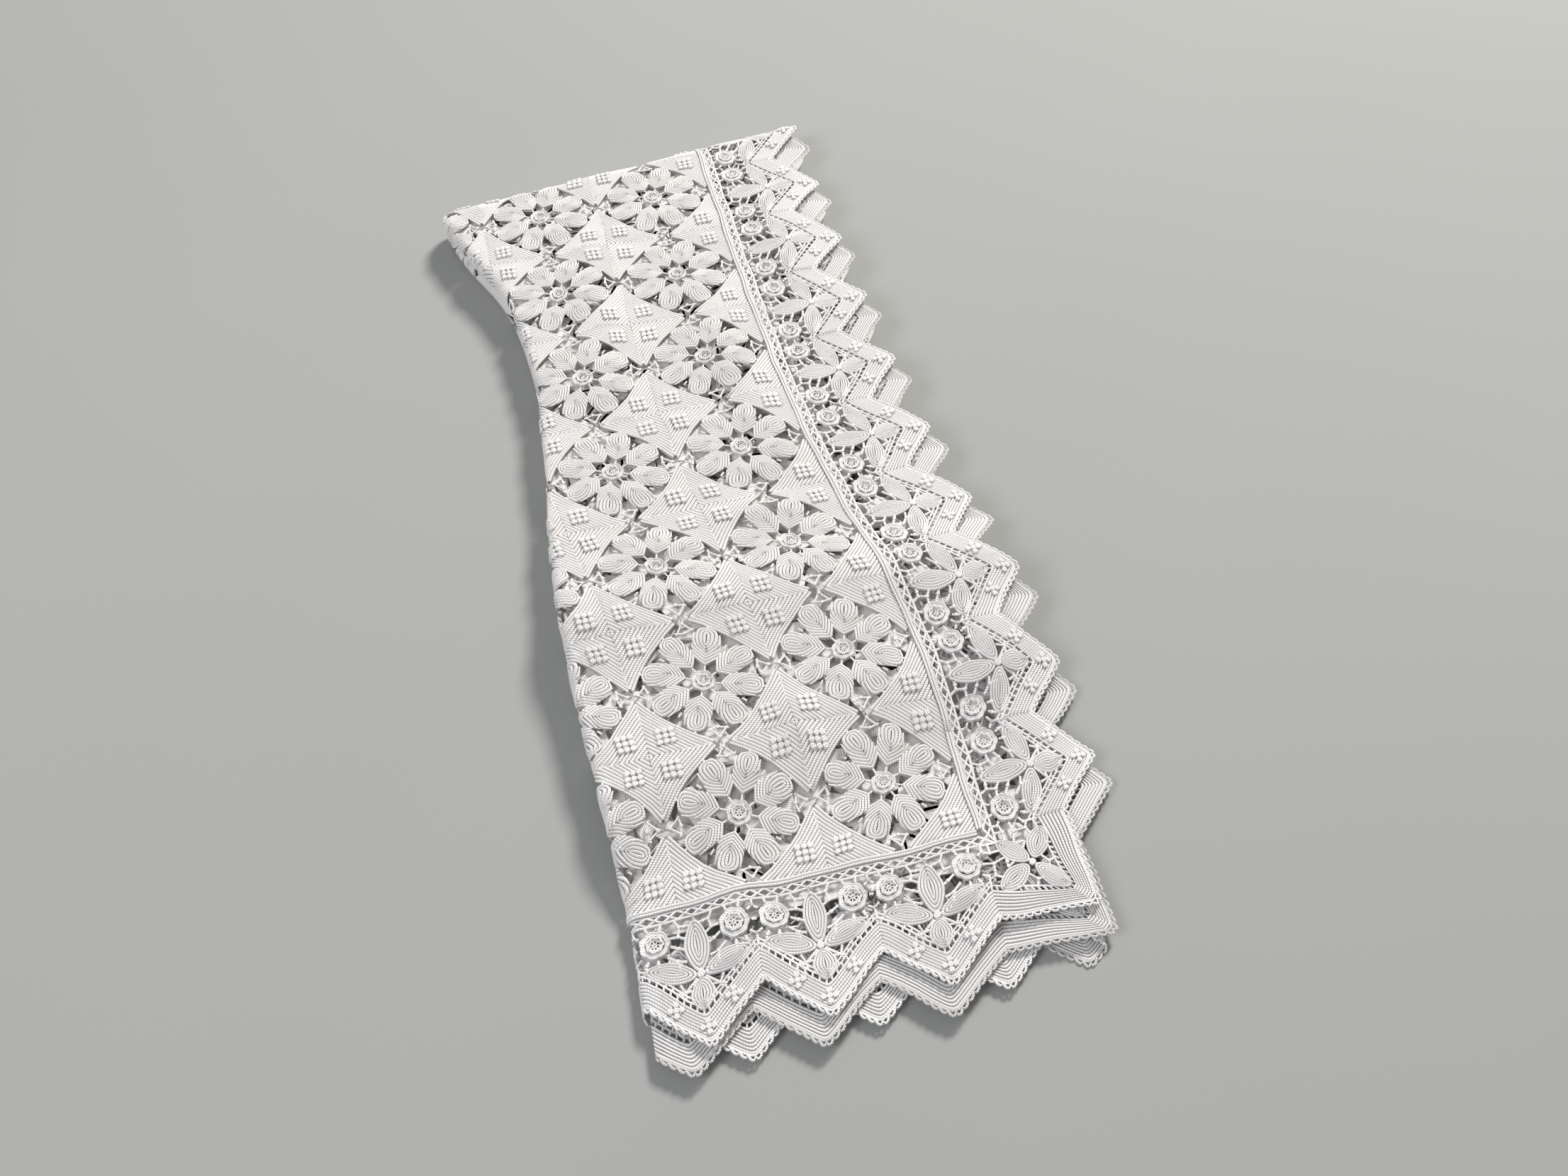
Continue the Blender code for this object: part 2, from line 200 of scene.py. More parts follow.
def folded(u, v, h):
    """Where a point of the flat cloth lies in the folded bedspread."""
    across, height, v, fold, station = lie(u, v, h)
    turn = math.pi * np.clip((v - fold) / FAR_BEND, 0, 1)
    radius = height + INNER_TURN
    under_end = 2 * fold + FAR_BEND - FIELD_LONG - EDGING
    beyond = v > fold + FAR_BEND
    along = np.where(beyond, 2 * fold + FAR_BEND - v, np.minimum(v, fold) + radius * np.sin(turn))
    lift = LIFT * eased((along - under_end + RAMP) / (RAMP - RISE_CLEAR))
    upper = 1 - eased(turn / math.pi * 4)
    near_fold = eased((fold - along) / FADE_AT_FOLD)
    top_layer = eased((height - 2.3 * LAYER_PITCH) / (0.4 * LAYER_PITCH))
    soft = (soft_height(across, along) * top_layer + ridge_height(across, along)) * upper * near_fold
    _, right = strip_sides(station)
    above_second = eased((height - LAYER_PITCH * 1.4) / LAYER_PITCH * 2)
    loose = eased((across - right - DROOP_FROM) / DROOP_OVER) * above_second
    droop = SIDE_DROOP * loose * (0.5 + 0.5 * lift / LIFT) * upper * near_fold
    bent = LAYER_PITCH * (LAYERS - 0.5) + radius * np.cos(turn)
    z = THICKNESS / 2 + np.where(v <= fold, lift + height, bent) + soft - droop
    x = across + curve_through(SIDEWAYS, along)
    return np.stack([x, along, z], axis=-1) + PLACE


# Ribbed corners of the squares
# Each square's four corners are triangles of ribbed crochet, worked to and fro in the back of the
# stitches, so that every two rows stand up as a rib. Four squares' corners make a ribbed diamond.
# The yarn is thick white mercerised cotton, and the cloth is about 3 mm thick with its ribs.
RIBS = 13
CORNER_DEEP = SQUARE / math.sqrt(8)  # from the square's corner to the middle of the triangle's long side
CORNER_HOLLOW = 0.0080  # the long side is this much hollow, round the flower
CORNER_TIP = 0.0510  # half of the long side, where the tips stop short of the join
SEAM = 0.00025  # half of the seam between two squares
CREST = 0.0015
GROOVE = -0.0009
BACK = -0.0015
RIB_PROFILE = ((0.0, GROOVE), (0.19, 0.0010), (0.5, CREST), (0.81, 0.0010))  # through the rib, height
PLAIN_TOP = 0.0012  # face of the crochet where ribs don't show
LYING_TOP = 0.0015  # nothing stands above this on the faces that lie inside or on the surface


def grid_faces(rows, columns, ring=False):
    """Triangles of a grid of points, whose rows may close into rings."""
    k = np.arange(rows * columns).reshape(rows, columns)
    if ring:
        k = np.concatenate([k, k[:, :1]], axis=1)
    a, b, c, d = k[:-1, :-1], k[:-1, 1:], k[1:, 1:], k[1:, :-1]
    return np.concatenate([np.stack([a, b, c], -1).reshape(-1, 3), np.stack([a, c, d], -1).reshape(-1, 3)])


def outward(points, faces):
    """The same faces, turned round if they point inwards."""
    a, b, c = (points[faces[:, k]] for k in range(3))
    inside_out = np.einsum("ij,ij->", a, np.cross(b, c)) < 0
    return faces[:, ::-1] if inside_out else faces


def plate(u, v, top, ring=False, back=BACK, back_step=8, both_faces=False, relief=None):
    """A thin closed piece of crochet: a grid of flat places and its face's height there, with a plain
    back or, on both_faces, the same relief on its back. Gives points, faces and, for the yarn, how far
    along and across its rows each point lies and how high it stands above the grooves."""
    rows, columns = u.shape
    keep = np.unique([*range(0, rows, 1 if both_faces else back_step), rows - 1])
    under = -top[keep] if both_faces else np.full((len(keep), columns), back)
    run = np.hypot(np.diff(u, axis=1), np.diff(v, axis=1)).cumsum(axis=1)
    run = np.concatenate([np.zeros((rows, 1)), run], axis=1)
    run = run - run[:, columns // 2][:, None]
    middle = columns // 2
    over = np.hypot(np.diff(u[:, middle]), np.diff(v[:, middle])).cumsum()
    over = np.repeat(np.concatenate([[0], over])[:, None], columns, axis=1)
    points = np.concatenate(
        [
            np.stack([u, v, top], -1).reshape(-1, 3),
            np.stack([u[keep], v[keep], under], -1).reshape(-1, 3),
        ]
    )
    relief = top if relief is None else relief
    under_relief = relief[keep] if both_faces else np.full((len(keep), columns), CREST)
    yarn = np.concatenate(
        [
            np.stack([run, over, relief], -1).reshape(-1, 3),
            np.stack([run[keep], over[keep], under_relief], -1).reshape(-1, 3),
        ]
    )
    t = np.arange(rows * columns).reshape(rows, columns)
    b = np.arange(len(keep) * columns).reshape(len(keep), columns) + rows * columns
    if ring:
        t, b = (np.concatenate([x, x[:, :1]], axis=1) for x in (t, b))
    faces = [
        grid_faces(rows, columns, ring),
        grid_faces(len(keep), columns, ring)[:, ::-1] + rows * columns,
        np.stack([t[0, 1:], t[0, :-1], b[0, :-1]], -1),
        np.stack([t[0, 1:], b[0, :-1], b[0, 1:]], -1),
        np.stack([t[-1, :-1], t[-1, 1:], b[-1, 1:]], -1),
        np.stack([t[-1, :-1], b[-1, 1:], b[-1, :-1]], -1),
    ]
    if not ring:
        at = np.searchsorted(keep, np.arange(rows - 1), side="right") - 1
        for side, flip in ((0, 1), (-1, -1)):
            fan = np.stack([b[at, side], t[:-1, side], t[1:, side]], -1)
            close = np.stack([b[:-1, side], t[keep[1:], side], b[1:, side]], -1)
            faces += [fan[:, ::flip], close[:, ::flip]]
    faces = np.concatenate(faces)
    return points, outward(points, faces), yarn


def ribbed(count, plain_rows=2):
    """Places across a run of ribs, from 0 to 1, and the height of the face at each. It is plain
    without ribs."""
    if not count:
        return np.linspace(0, 1, plain_rows), np.full(plain_rows, PLAIN_TOP)
    places = [(k + through) / count for k in range(count) for through, _ in RIB_PROFILE] + [1.0]
    heights = [height for _ in range(count) for _, height in RIB_PROFILE] + [GROOVE]
    return np.array(places), np.array(heights)


def corner_triangle(rib_count, columns):
    """One ribbed corner of a square, with its right angle at the origin and its long side towards +x."""
    deep, heights = ribbed(rib_count, 3)
    d = np.maximum(CORNER_DEEP * deep, 0.0004)[:, None]
    half = np.maximum(np.minimum(d, CORNER_TIP) - SEAM * math.sqrt(2), 0.0001)
    s = np.linspace(-1, 1, columns)[None, :]
    along = half * s
    hollow = CORNER_HOLLOW * (d / CORNER_DEEP) ** 2 * (1 - (along / CORNER_DEEP) ** 2)
    top = np.repeat(heights[:, None], columns, axis=1)
    return plate(d - hollow + 0 * s, along, top)


def joined(parts):
    """One flat mesh from several."""
    starts = np.cumsum([0] + [len(points) for points, _, _ in parts[:-1]])
    return (
        np.concatenate([points for points, _, _ in parts]),
        np.concatenate([faces + start for (_, faces, _), start in zip(parts, starts)]),
        np.concatenate([yarn for _, _, yarn in parts]),
    )


def copies(mesh, places):
    """Copies of a flat mesh. Each place is an origin and the directions that the mesh's x and y take."""
    points, faces, yarn = mesh
    o, ex, ey = (np.array([place[k] for place in places])[:, None, :] for k in range(3))
    flat = o + points[None, :, :1] * ex + points[None, :, 1:2] * ey
    high = np.broadcast_to(points[None, :, 2:], (*flat.shape[:2], 1))
    mirrored = (ex[:, 0, 0] * ey[:, 0, 1] - ex[:, 0, 1] * ey[:, 0, 0]) < 0
    own = np.where(mirrored[:, None, None], faces[None, :, ::-1], faces[None])
    own = own + (np.arange(len(places)) * len(points))[:, None, None]
    return (
        np.concatenate([flat, high], -1).reshape(-1, 3),
        own.reshape(-1, 3),
        np.tile(yarn, (len(places), 1)),
    )


FOLD_MARGIN = 0.004
EDGE_IN_FOLDS = (0.005, 0.007, 0.012)  # at the inner folds, the outer fold and the far fold
LONGEST_EDGE = 0.030


def edge_limit(u, v):
    """How long an edge may be, so that the crochet still bends smoothly in the folds."""
    _, _, lain, fold, station = lie(u, v, 0 * u)
    left, _, ends = turns_at(station)
    g = np.clip((left - u) / (left - CLOTH_LEFT), 0, 1) * ends[5]
    inner = [(g > ends[k] - FOLD_MARGIN) & (g < ends[k + 1] + FOLD_MARGIN) for k in (1, 3)]
    outer = (g > 0) & (g < ends[0])
    bend = (lain > fold) & (lain < fold + FAR_BEND)
    return np.select([inner[0] | inner[1], outer, bend], EDGE_IN_FOLDS, LONGEST_EDGE)


# How a triangle is cut with one, two or three of its edges halved: 0 to 2 are its corners, 3 to 5 the
# middles of its edges.
CUTS = (
    (1, (0, 3, 2)),
    (1, (3, 1, 2)),
    (2, (0, 1, 4)),
    (2, (0, 4, 5)),
    (2, (5, 4, 2)),
    (3, (0, 3, 5)),
    (3, (3, 1, 4)),
    (3, (5, 4, 2)),
    (3, (3, 4, 5)),
)


def split_where_folded(mesh):
    """The same mesh, with its long edges halved where the cloth is folded."""
    points, faces, yarn = mesh
    for _ in range(5):
        pairs = np.sort(np.concatenate([faces[:, [0, 1]], faces[:, [1, 2]], faces[:, [2, 0]]]), axis=1)
        edges, which = np.unique(pairs, axis=0, return_inverse=True)
        which = which.reshape(3, -1).T
        a, b = points[edges[:, 0]], points[edges[:, 1]]
        middle = (a + b) / 2
        long = np.linalg.norm(a - b, axis=1) > edge_limit(middle[:, 0], middle[:, 1])
        if not long.any():
            break
        new = np.full(len(edges), -1)
        new[long] = len(points) + np.arange(long.sum())
        points = np.concatenate([points, middle[long]])
        yarn = np.concatenate([yarn, (yarn[edges[long, 0]] + yarn[edges[long, 1]]) / 2])
        cut = new[which]
        number = (cut >= 0).sum(axis=1)
        shift = np.where(number == 1, np.argmax(cut >= 0, axis=1), np.argmax(cut < 0, axis=1))
        turn = (np.arange(3)[None, :] + shift[:, None]) % 3
        six = np.hstack([np.take_along_axis(faces, turn, axis=1), np.take_along_axis(cut, turn, axis=1)])
        faces = np.concatenate([faces[number == 0], *(six[number == k][:, corners] for k, corners in CUTS)])
    return points, faces, yarn


def on_top(u, v):
    """1 on the strip's upper face, fading to 0 round its left and far folds."""
    _, _, lain, fold, station = lie(u, v, 0 * u)
    left, _ = strip_sides(station)
    return (1 - eased((left - u) / 0.030)) * (1 - eased((lain - fold) / FAR_BEND * 1.5))


# Waves of the unevenness: size, waves in a metre across and along, and where each starts.
SHIFT_ACROSS = ((0.0007, 11.3, 7.9, 1.1), (0.0005, -4.7, 15.1, 0.0))
SHIFT_ALONG = ((0.0007, 8.3, -10.7, 2.3), (0.0005, 14.3, 5.1, 0.0))
PUCKER = ((0.0007, 13.7, 9.1, 0.4), (1.0, -6.3, 12.9, 1.9))
CROWN = 0.0009  # the cloth is this much higher at the middles and corners of the squares
LIFTED = 0.0010  # the upper face stands this much higher than the middle of the cloth's layer


def waves(u, v, table):
    """The height of each wave of a table at these places."""
    return [size * np.sin(2 * math.pi * (u * a + v * b) + start) for size, a, b, start in table]


def hand_worked(points):
    """The small unevenness of hand crochet: places shift by up to a millimetre and the face puckers."""
    u, v, h = points.T
    above = on_top(u, v)
    high = np.where(h > LYING_TOP, LYING_TOP + (h - LYING_TOP) * above, h)
    pucker = math.prod(waves(u, v, PUCKER))
    crown = CROWN * np.cos(2 * math.pi * u / SQUARE) * np.cos(2 * math.pi * v / SQUARE)
    shifted = [place + sum(waves(u, v, table)) for place, table in ((u, SHIFT_ACROSS), (v, SHIFT_ALONG))]
    return *shifted, high + (pucker + crown + LIFTED) * above


def piece(name, mesh, material):
    """A visible piece: the flat mesh laid in the bedspread's folds."""
    points, faces, yarn = split_where_folded(mesh)
    u, v, h = hand_worked(points)
    mesh_data = bpy.data.meshes.new(name)
    mesh_data.vertices.add(len(points))
    mesh_data.vertices.foreach_set("co", folded(u, v, h).astype(np.float32).ravel())
    mesh_data.loops.add(faces.size)
    mesh_data.loops.foreach_set("vertex_index", faces.astype(np.int32).ravel())
    mesh_data.polygons.add(len(faces))
    mesh_data.polygons.foreach_set("loop_start", np.arange(0, faces.size, 3, dtype=np.int32))
    mesh_data.update(calc_edges=True)
    layer = mesh_data.uv_layers.new(name="yarn")
    layer.data.foreach_set("uv", yarn[faces.ravel(), :2].astype(np.float32).ravel())
    # The material reads this relief to place its painted groove shade.
    depth = mesh_data.attributes.new("relief", "FLOAT", "POINT")
    depth.data.foreach_set("value", yarn[:, 2].astype(np.float32))
    mesh_data.validate()
    mesh_data.shade_smooth()
    mesh_data.set_sharp_from_angle(angle=math.radians(75))
    mesh_data.materials.append(material)
    obj = bpy.data.objects.new(name, mesh_data)
    bpy.context.scene.collection.objects.link(obj)
    return obj


def linear(code):
    """A colour given as sRGB hex, turned linear."""
    parts = [int(code[k : k + 2], 16) / 255 for k in (1, 3, 5)]
    return tuple(x / 12.92 if x <= 0.04045 else ((x + 0.055) / 1.055) ** 2.4 for x in parts) + (1.0,)


def add_node(tree, kind, settings=(), **links):
    """Adds a node with its settings and inputs. A link is a socket, anything else a value."""
    node = tree.nodes.new(kind)
    for name, value in dict(settings).items():
        setattr(node, name, value)
    for name, value in links.items():
        key = int(name[1:]) if name[0] == "i" and name[1:].isdigit() else name.replace("_", " ")
        if isinstance(value, bpy.types.NodeSocket):
            tree.links.new(value, node.inputs[key])
        else:
            node.inputs[key].default_value = value
    return node


STITCH = 0.0026  # one stitch along a rib
WAVE_PERIOD = 0.314  # a wave texture's period at scale 1
STITCH_SLANT = math.radians(28)
PATCHES_PER_METRE = 9.0  # faint uneven bleaching
FIBRES_PER_METRE = 900.0  # tufts of loose fibres, about 1.1 mm apart


def crocheted_cotton(name, crest, groove_shade, stitch):
    """Thick white mercerised cotton, crocheted: matt, with a soft edge glow from its loose fibres. The
    colour is white on the crests and a greyer, slightly warm white in the low places of the relief: painted
    shade in the grooves between the rows. It is also a little darker where the stitch bump is low, painted
    shade between the stitches."""
    material = bpy.data.materials.new(name)
    material.use_nodes = True
    tree = material.node_tree
    shader = tree.nodes["Principled BSDF"]
    relief = add_node(tree, "ShaderNodeAttribute", {"attribute_name": "relief"}).outputs["Fac"]
    # 0 in the grooves and 1 on the crests: where the painted groove shade lies.
    height = add_node(
        tree,
        "ShaderNodeMapRange",
        {"interpolation_type": "SMOOTHSTEP"},
        Value=relief,
        From_Min=GROOVE,
        From_Max=0.0006,
    ).outputs["Result"]
    yarn = add_node(tree, "ShaderNodeUVMap", {"uv_map": "yarn"}).outputs["UV"]
    slant = add_node(tree, "ShaderNodeMapping", (), Vector=yarn, Rotation=(0, 0, STITCH_SLANT))
    stitches = add_node(
        tree,
        "ShaderNodeTexWave",
        {"wave_type": "BANDS", "bands_direction": "X", "wave_profile": "SIN"},
        Vector=slant.outputs["Vector"],
        Scale=WAVE_PERIOD / stitch,
        Distortion=1.2,
        Detail=1.0,
        Detail_Scale=1.5,
    ).outputs["Fac"]
    place = add_node(tree, "ShaderNodeTexCoord").outputs["Object"]
    patches, fibres = (
        add_node(tree, "ShaderNodeTexNoise", (), Vector=place, Scale=scale, Detail=detail).outputs["Fac"]
        for scale, detail in ((PATCHES_PER_METRE, 3.0), (FIBRES_PER_METRE, 2.0))
    )
    # Painted shade: the groove shade colour in the low places of the relief, the crest colour on top.
    base = add_node(
        tree, "ShaderNodeMix", {"data_type": "RGBA"}, i0=height, i6=linear(groove_shade), i7=linear(crest)
    ).outputs[2]
    uneven = add_node(
        tree, "ShaderNodeMapRange", (), Value=patches, From_Min=0.3, From_Max=0.7, To_Min=0.95, To_Max=1.0
    ).outputs["Result"]
    # Painted shade between the stitches: darker where the stitch bump is low. The patches above are uneven
    # bleaching.
    between = add_node(
        tree, "ShaderNodeMapRange", (), Value=stitches, To_Min=0.90, To_Max=1.0
    ).outputs["Result"]
    tone = add_node(tree, "ShaderNodeMath", {"operation": "MULTIPLY"}, i0=uneven, i1=between).outputs[0]
    colour = add_node(
        tree, "ShaderNodeMix", {"data_type": "RGBA", "blend_type": "MULTIPLY"}, i0=1.0, i6=base, i7=tone
    ).outputs[2]
    tree.links.new(colour, shader.inputs["Base Color"])
    rows = add_node(
        tree, "ShaderNodeBump", (), Height=stitches, Strength=0.7, Distance=0.0006
    ).outputs["Normal"]
    fuzz = add_node(
        tree, "ShaderNodeBump", (), Height=fibres, Strength=0.35, Distance=0.0003, Normal=rows
    ).outputs["Normal"]
    tree.links.new(fuzz, shader.inputs["Normal"])
    shader.inputs["Roughness"].default_value = 0.82
    shader.inputs["IOR"].default_value = 1.46
    shader.inputs["Specular IOR Level"].default_value = 0.25
    shader.inputs["Sheen Weight"].default_value = 0.25
    shader.inputs["Sheen Roughness"].default_value = 0.5
    return material


# The second colour is the painted shade in the grooves.
SQUARE_COTTON = crocheted_cotton("crocheted_square_cotton", "#FAF7F4", "#89817B", STITCH)


def square_middles():
    return [
        (-SQUARE * (i + 0.5), SQUARE * (j + 0.5)) for i in range(SQUARES_WIDE) for j in range(SQUARES_LONG)
    ]


def turned_places(middle, turns, reach=0.0):
    """Places at a square's middle, or this far out from it, whose x points out along each turn."""
    places = []
    for turn in turns:
        c, s = math.cos(math.radians(turn)), math.sin(math.radians(turn))
        places.append(((middle[0] + reach * c, middle[1] + reach * s), (c, s), (-s, c)))
    return places


SHOWN_PAST_FOLD = 0.034  # the crochet shows this far round the left fold


def face_shows(u, v, more=SHOWN_PAST_FOLD):
    """Whether a place lies on the strip's upper face or on its left or far fold."""
    _, _, lain, fold, station = lie(np.array(u), np.array(v), np.array(0.0))
    left, _ = strip_sides(station)
    return u > left - more and lain < fold + FAR_BEND + 0.02


def parted(places, reach):
    """Places parted into those that show and those that don't, by the point this far along their x."""
    shown, hidden = [], []
    for place in places:
        o, ex, _ = place
        u, v = o[0] + reach * ex[0], o[1] + reach * ex[1]
        (shown if face_shows(u, v) else hidden).append(place)
    return shown, hidden


def inward_corners():
    """Places at each square's four corners, whose x points to the square's middle."""
    places = []
    for middle in square_middles():
        for place in turned_places(middle, (45, 135, 225, 315), SQUARE / math.sqrt(2)):
            o, ex, ey = place
            places.append((o, (-ex[0], -ex[1]), (-ey[0], -ey[1])))
    return places


corners_shown, corners_hidden = parted(inward_corners(), 0.035)
ribbed_corners = piece(
    "ribbed_corners",
    joined(
        [
            copies(corner_triangle(RIBS, 7), corners_shown),
            copies(corner_triangle(0, 4), corners_hidden),
        ]
    ),
    SQUARE_COTTON,
)
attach(ribbed_corners, "root")
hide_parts("joined_squares")

# Bobbles of the squares
# Nine bobbles stand on each ribbed corner, three by three and in line with the square's sides. Each is
# a bunch of stitches worked into one, which puffs up like a small cushion, about 6.5 mm across.
BOBBLE_PITCH = 0.0073
BOBBLE_HALF = 0.0036
BOBBLE_HIGH = 0.0034
BOBBLE_FOOT = 0.0010
BOBBLES_FROM_CORNER = 0.0310  # from the square's corner to the middle of the nine


def bobble(x, y, half, foot, high, turn=0.0, around=8):
    """A puffed bunch of stitches with a squarish outline."""
    a = 2 * math.pi * (np.arange(around) + 0.5) / around
    c, s = np.cos(a), np.sin(a)
    squarish = (np.abs(c) ** 3 + np.abs(s) ** 3) ** (-1 / 3)
    cx, cy = c * squarish, s * squarish
    t = math.radians(turn)
    cx, cy = cx * math.cos(t) - cy * math.sin(t), cx * math.sin(t) + cy * math.cos(t)
    rings = ((0.90, foot - 0.0008), (1.0, foot + 0.45 * high), (0.78, foot + 0.90 * high))
    points = [np.stack([x + half * r * cx, y + half * r * cy, np.full(around, h)], -1) for r, h in rings]
    points = np.concatenate([*points, [[x, y, foot + high], [x, y, foot - 0.0008]]])
    k = np.arange(around)
    n = (k + 1) % around
    last = (len(rings) - 1) * around
    top, low = len(points) - 2, len(points) - 1
    faces = np.concatenate(
        [
            grid_faces(len(rings), around, ring=True)[:, ::-1],
            np.stack([last + k, last + n, np.full(around, top)], -1),
            np.stack([n, k, np.full(around, low)], -1),
        ]
    )
    # The foot ring and the underside take the groove's relief: painted shade at the bobble's foot, crest
    # white on top.
    relief = np.concatenate([np.repeat([GROOVE, 0.0004, CREST], around), [CREST, GROOVE]])
    return points, outward(points - points.mean(axis=0), faces), np.column_stack([points[:, :2], relief])


nine_bobbles = joined(
    [
        bobble(
            BOBBLES_FROM_CORNER + (i + j) * BOBBLE_PITCH / math.sqrt(2),
            (i - j) * BOBBLE_PITCH / math.sqrt(2),
            BOBBLE_HALF,
            BOBBLE_FOOT,
            BOBBLE_HIGH,
            45.0,
        )
        for i in (-1, 0, 1)
        for j in (-1, 0, 1)
    ]
)
square_bobbles = piece("square_bobbles", copies(nine_bobbles, corners_shown), SQUARE_COTTON)
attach(square_bobbles, "root")

# Leaves of the flower squares
# Eight leaves stand round the middle of each square. Each is worked to and fro round a short chain, so
# that its ribs lie as nested points towards the base and as a whorl near the blunt outer tip.
LEAF_BASE = 0.0195  # from the flower's middle
LEAF_LONG = 0.0490
LEAF_APART = 45.0
LEAF_TURNS = [LEAF_APART * (k + 0.5) for k in range(8)]
LEAF_PITCH = 0.00323
WHORL_RIBS = 3
LEAF_RIBS = 7
WHORL_SLIT = 0.0065  # half of the chain that the whorl is worked round
LEAF_POINT = math.radians(54)  # each nested point's half angle
LEAF_HALF = 0.0150
LEAF_GAP = 0.0003  # between a leaf and the line halfway to the next
RIB_END = 0.0005  # a rib's crest ends this much outside the leaf's side, and its groove inside
WHORL_SIDE = 1.30  # a whorl's rib lies this much further out at its side than the pitch
WHORL_TIP = 0.84  # and this share of the pitch at the tip
LEAF_TOP = 0.0008  # the leaves stand this much above the ground
LEAF_BOW = 0.0020  # and are bowed up this much more in their middle
WHORL_RADIUS = WHORL_RIBS * LEAF_PITCH
WHORL_AT = LEAF_LONG - WHORL_RADIUS * WHORL_TIP - WHORL_SLIT


def rib_reach(turn, r):
    """How far a leaf's rib runs from the whorl's middle, by the turn from the base's direction: pointed
    towards the base, with straight sides and a round tip."""
    c, s = np.cos(turn), np.abs(np.sin(turn))
    point = np.maximum(math.sin(LEAF_POINT) * c + math.cos(LEAF_POINT) * s, 0)
    tip = np.maximum(-c, 0) / WHORL_TIP
    side = s / WHORL_SIDE
    return r / (point**7 + side**7 + tip**7 * 0.8 + (0.5 * (side + tip)) ** 7) ** (1 / 7)


def rib_points(turn, r):
    """Where a leaf's rib runs: along the leaf from its base, and aside."""
    reach = rib_reach(turn, r)
    c = np.cos(turn)
    return WHORL_AT - reach * c - WHORL_SLIT * np.sign(c) * np.abs(c) ** 0.6, reach * np.sin(turn)


def leaf_bow(x, y):
    """How much a leaf is bowed up, along and across."""
    return LEAF_BOW * (np.sin(math.pi * np.clip(x / LEAF_LONG, 0, 1)) - 0.6 * (y / LEAF_HALF) ** 2)


def leaf_half_width(x):
    """The leaf's half width, this far from its base. It leaves room for the next leaf."""
    back = np.clip((WHORL_AT - x) / WHORL_AT, 0, 1)
    room = (LEAF_BASE + x) * math.tan(math.radians(LEAF_APART / 2)) - LEAF_GAP
    return np.minimum(LEAF_HALF * (1 - 0.08 * back**2), room)


def leaf_side_turn(r, more):
    """The direction in which a pointed rib meets the leaf's side."""
    turns = np.linspace(0.02, math.pi * 0.6, 160)
    x, y = rib_points(turns, r)
    outside = y > leaf_half_width(x) + more
    return turns[np.argmax(outside)] if outside.any() else turns[-1]


def leaf(ribs_shown, around=20, columns=11):
    """A flower's leaf, with its base at the origin and its tip towards +x."""
    if not ribs_shown:
        around, columns = 8, 3
    through, heights = ribbed(WHORL_RIBS if ribs_shown else 0)
    r = np.maximum(through * WHORL_RADIUS, 0.0003)[:, None]
    turn = (2 * math.pi * np.arange(around) / around)[None, :]
    x, y = rib_points(turn, r)
    relief = heights[:, None] + 0 * turn
    whorl = plate(x, y, relief + LEAF_TOP + leaf_bow(x, y), ring=True, relief=relief)
    through, heights = ribbed(LEAF_RIBS - WHORL_RIBS if ribs_shown else 0)
    r = WHORL_RADIUS + through * (LEAF_RIBS - WHORL_RIBS) * LEAF_PITCH
    ends = np.where(heights > 0, RIB_END, -RIB_END)
    side = np.array([leaf_side_turn(value, more) for value, more in zip(r, ends)])
    aside = np.linspace(-1, 1, columns)[None, :]
    turn = side[:, None] * aside
    x, y = rib_points(turn, r[:, None])
    x = np.maximum(x, 0.0004 * np.abs(aside))
    relief = heights[:, None] + 0 * aside
    top = relief + LEAF_TOP + leaf_bow(x, y) - 0.0005 * aside**6
    return joined([whorl, plate(x, y, top, relief=relief)])


leaf_places = []
for middle in square_middles():
    leaf_places += turned_places(middle, LEAF_TURNS, LEAF_BASE)
leaves_shown, leaves_hidden = parted(leaf_places, LEAF_LONG / 2)
flower_leaves = piece("flower_leaves", copies(leaf(True), leaves_shown), SQUARE_COTTON)
leaves_inside = piece("leaves_inside", copies(leaf(False), leaves_hidden), SQUARE_COTTON)
for part in (flower_leaves, leaves_inside):
    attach(part, "root")

# Roses and bars of the flower squares
# A small rose sits in the middle of each flower: a centre pierced by seven tiny holes, a raised wavy
# ring and a ring of seven petals with thick rims. Thin bars with picots, which are tiny knotted loops,
# tie the leaves' tips to the ribbed corners and the squares to each other.
ROSE_RADIUS = 0.0140
ROSE_PETALS = 7
CORD_RADIUS = 0.0013


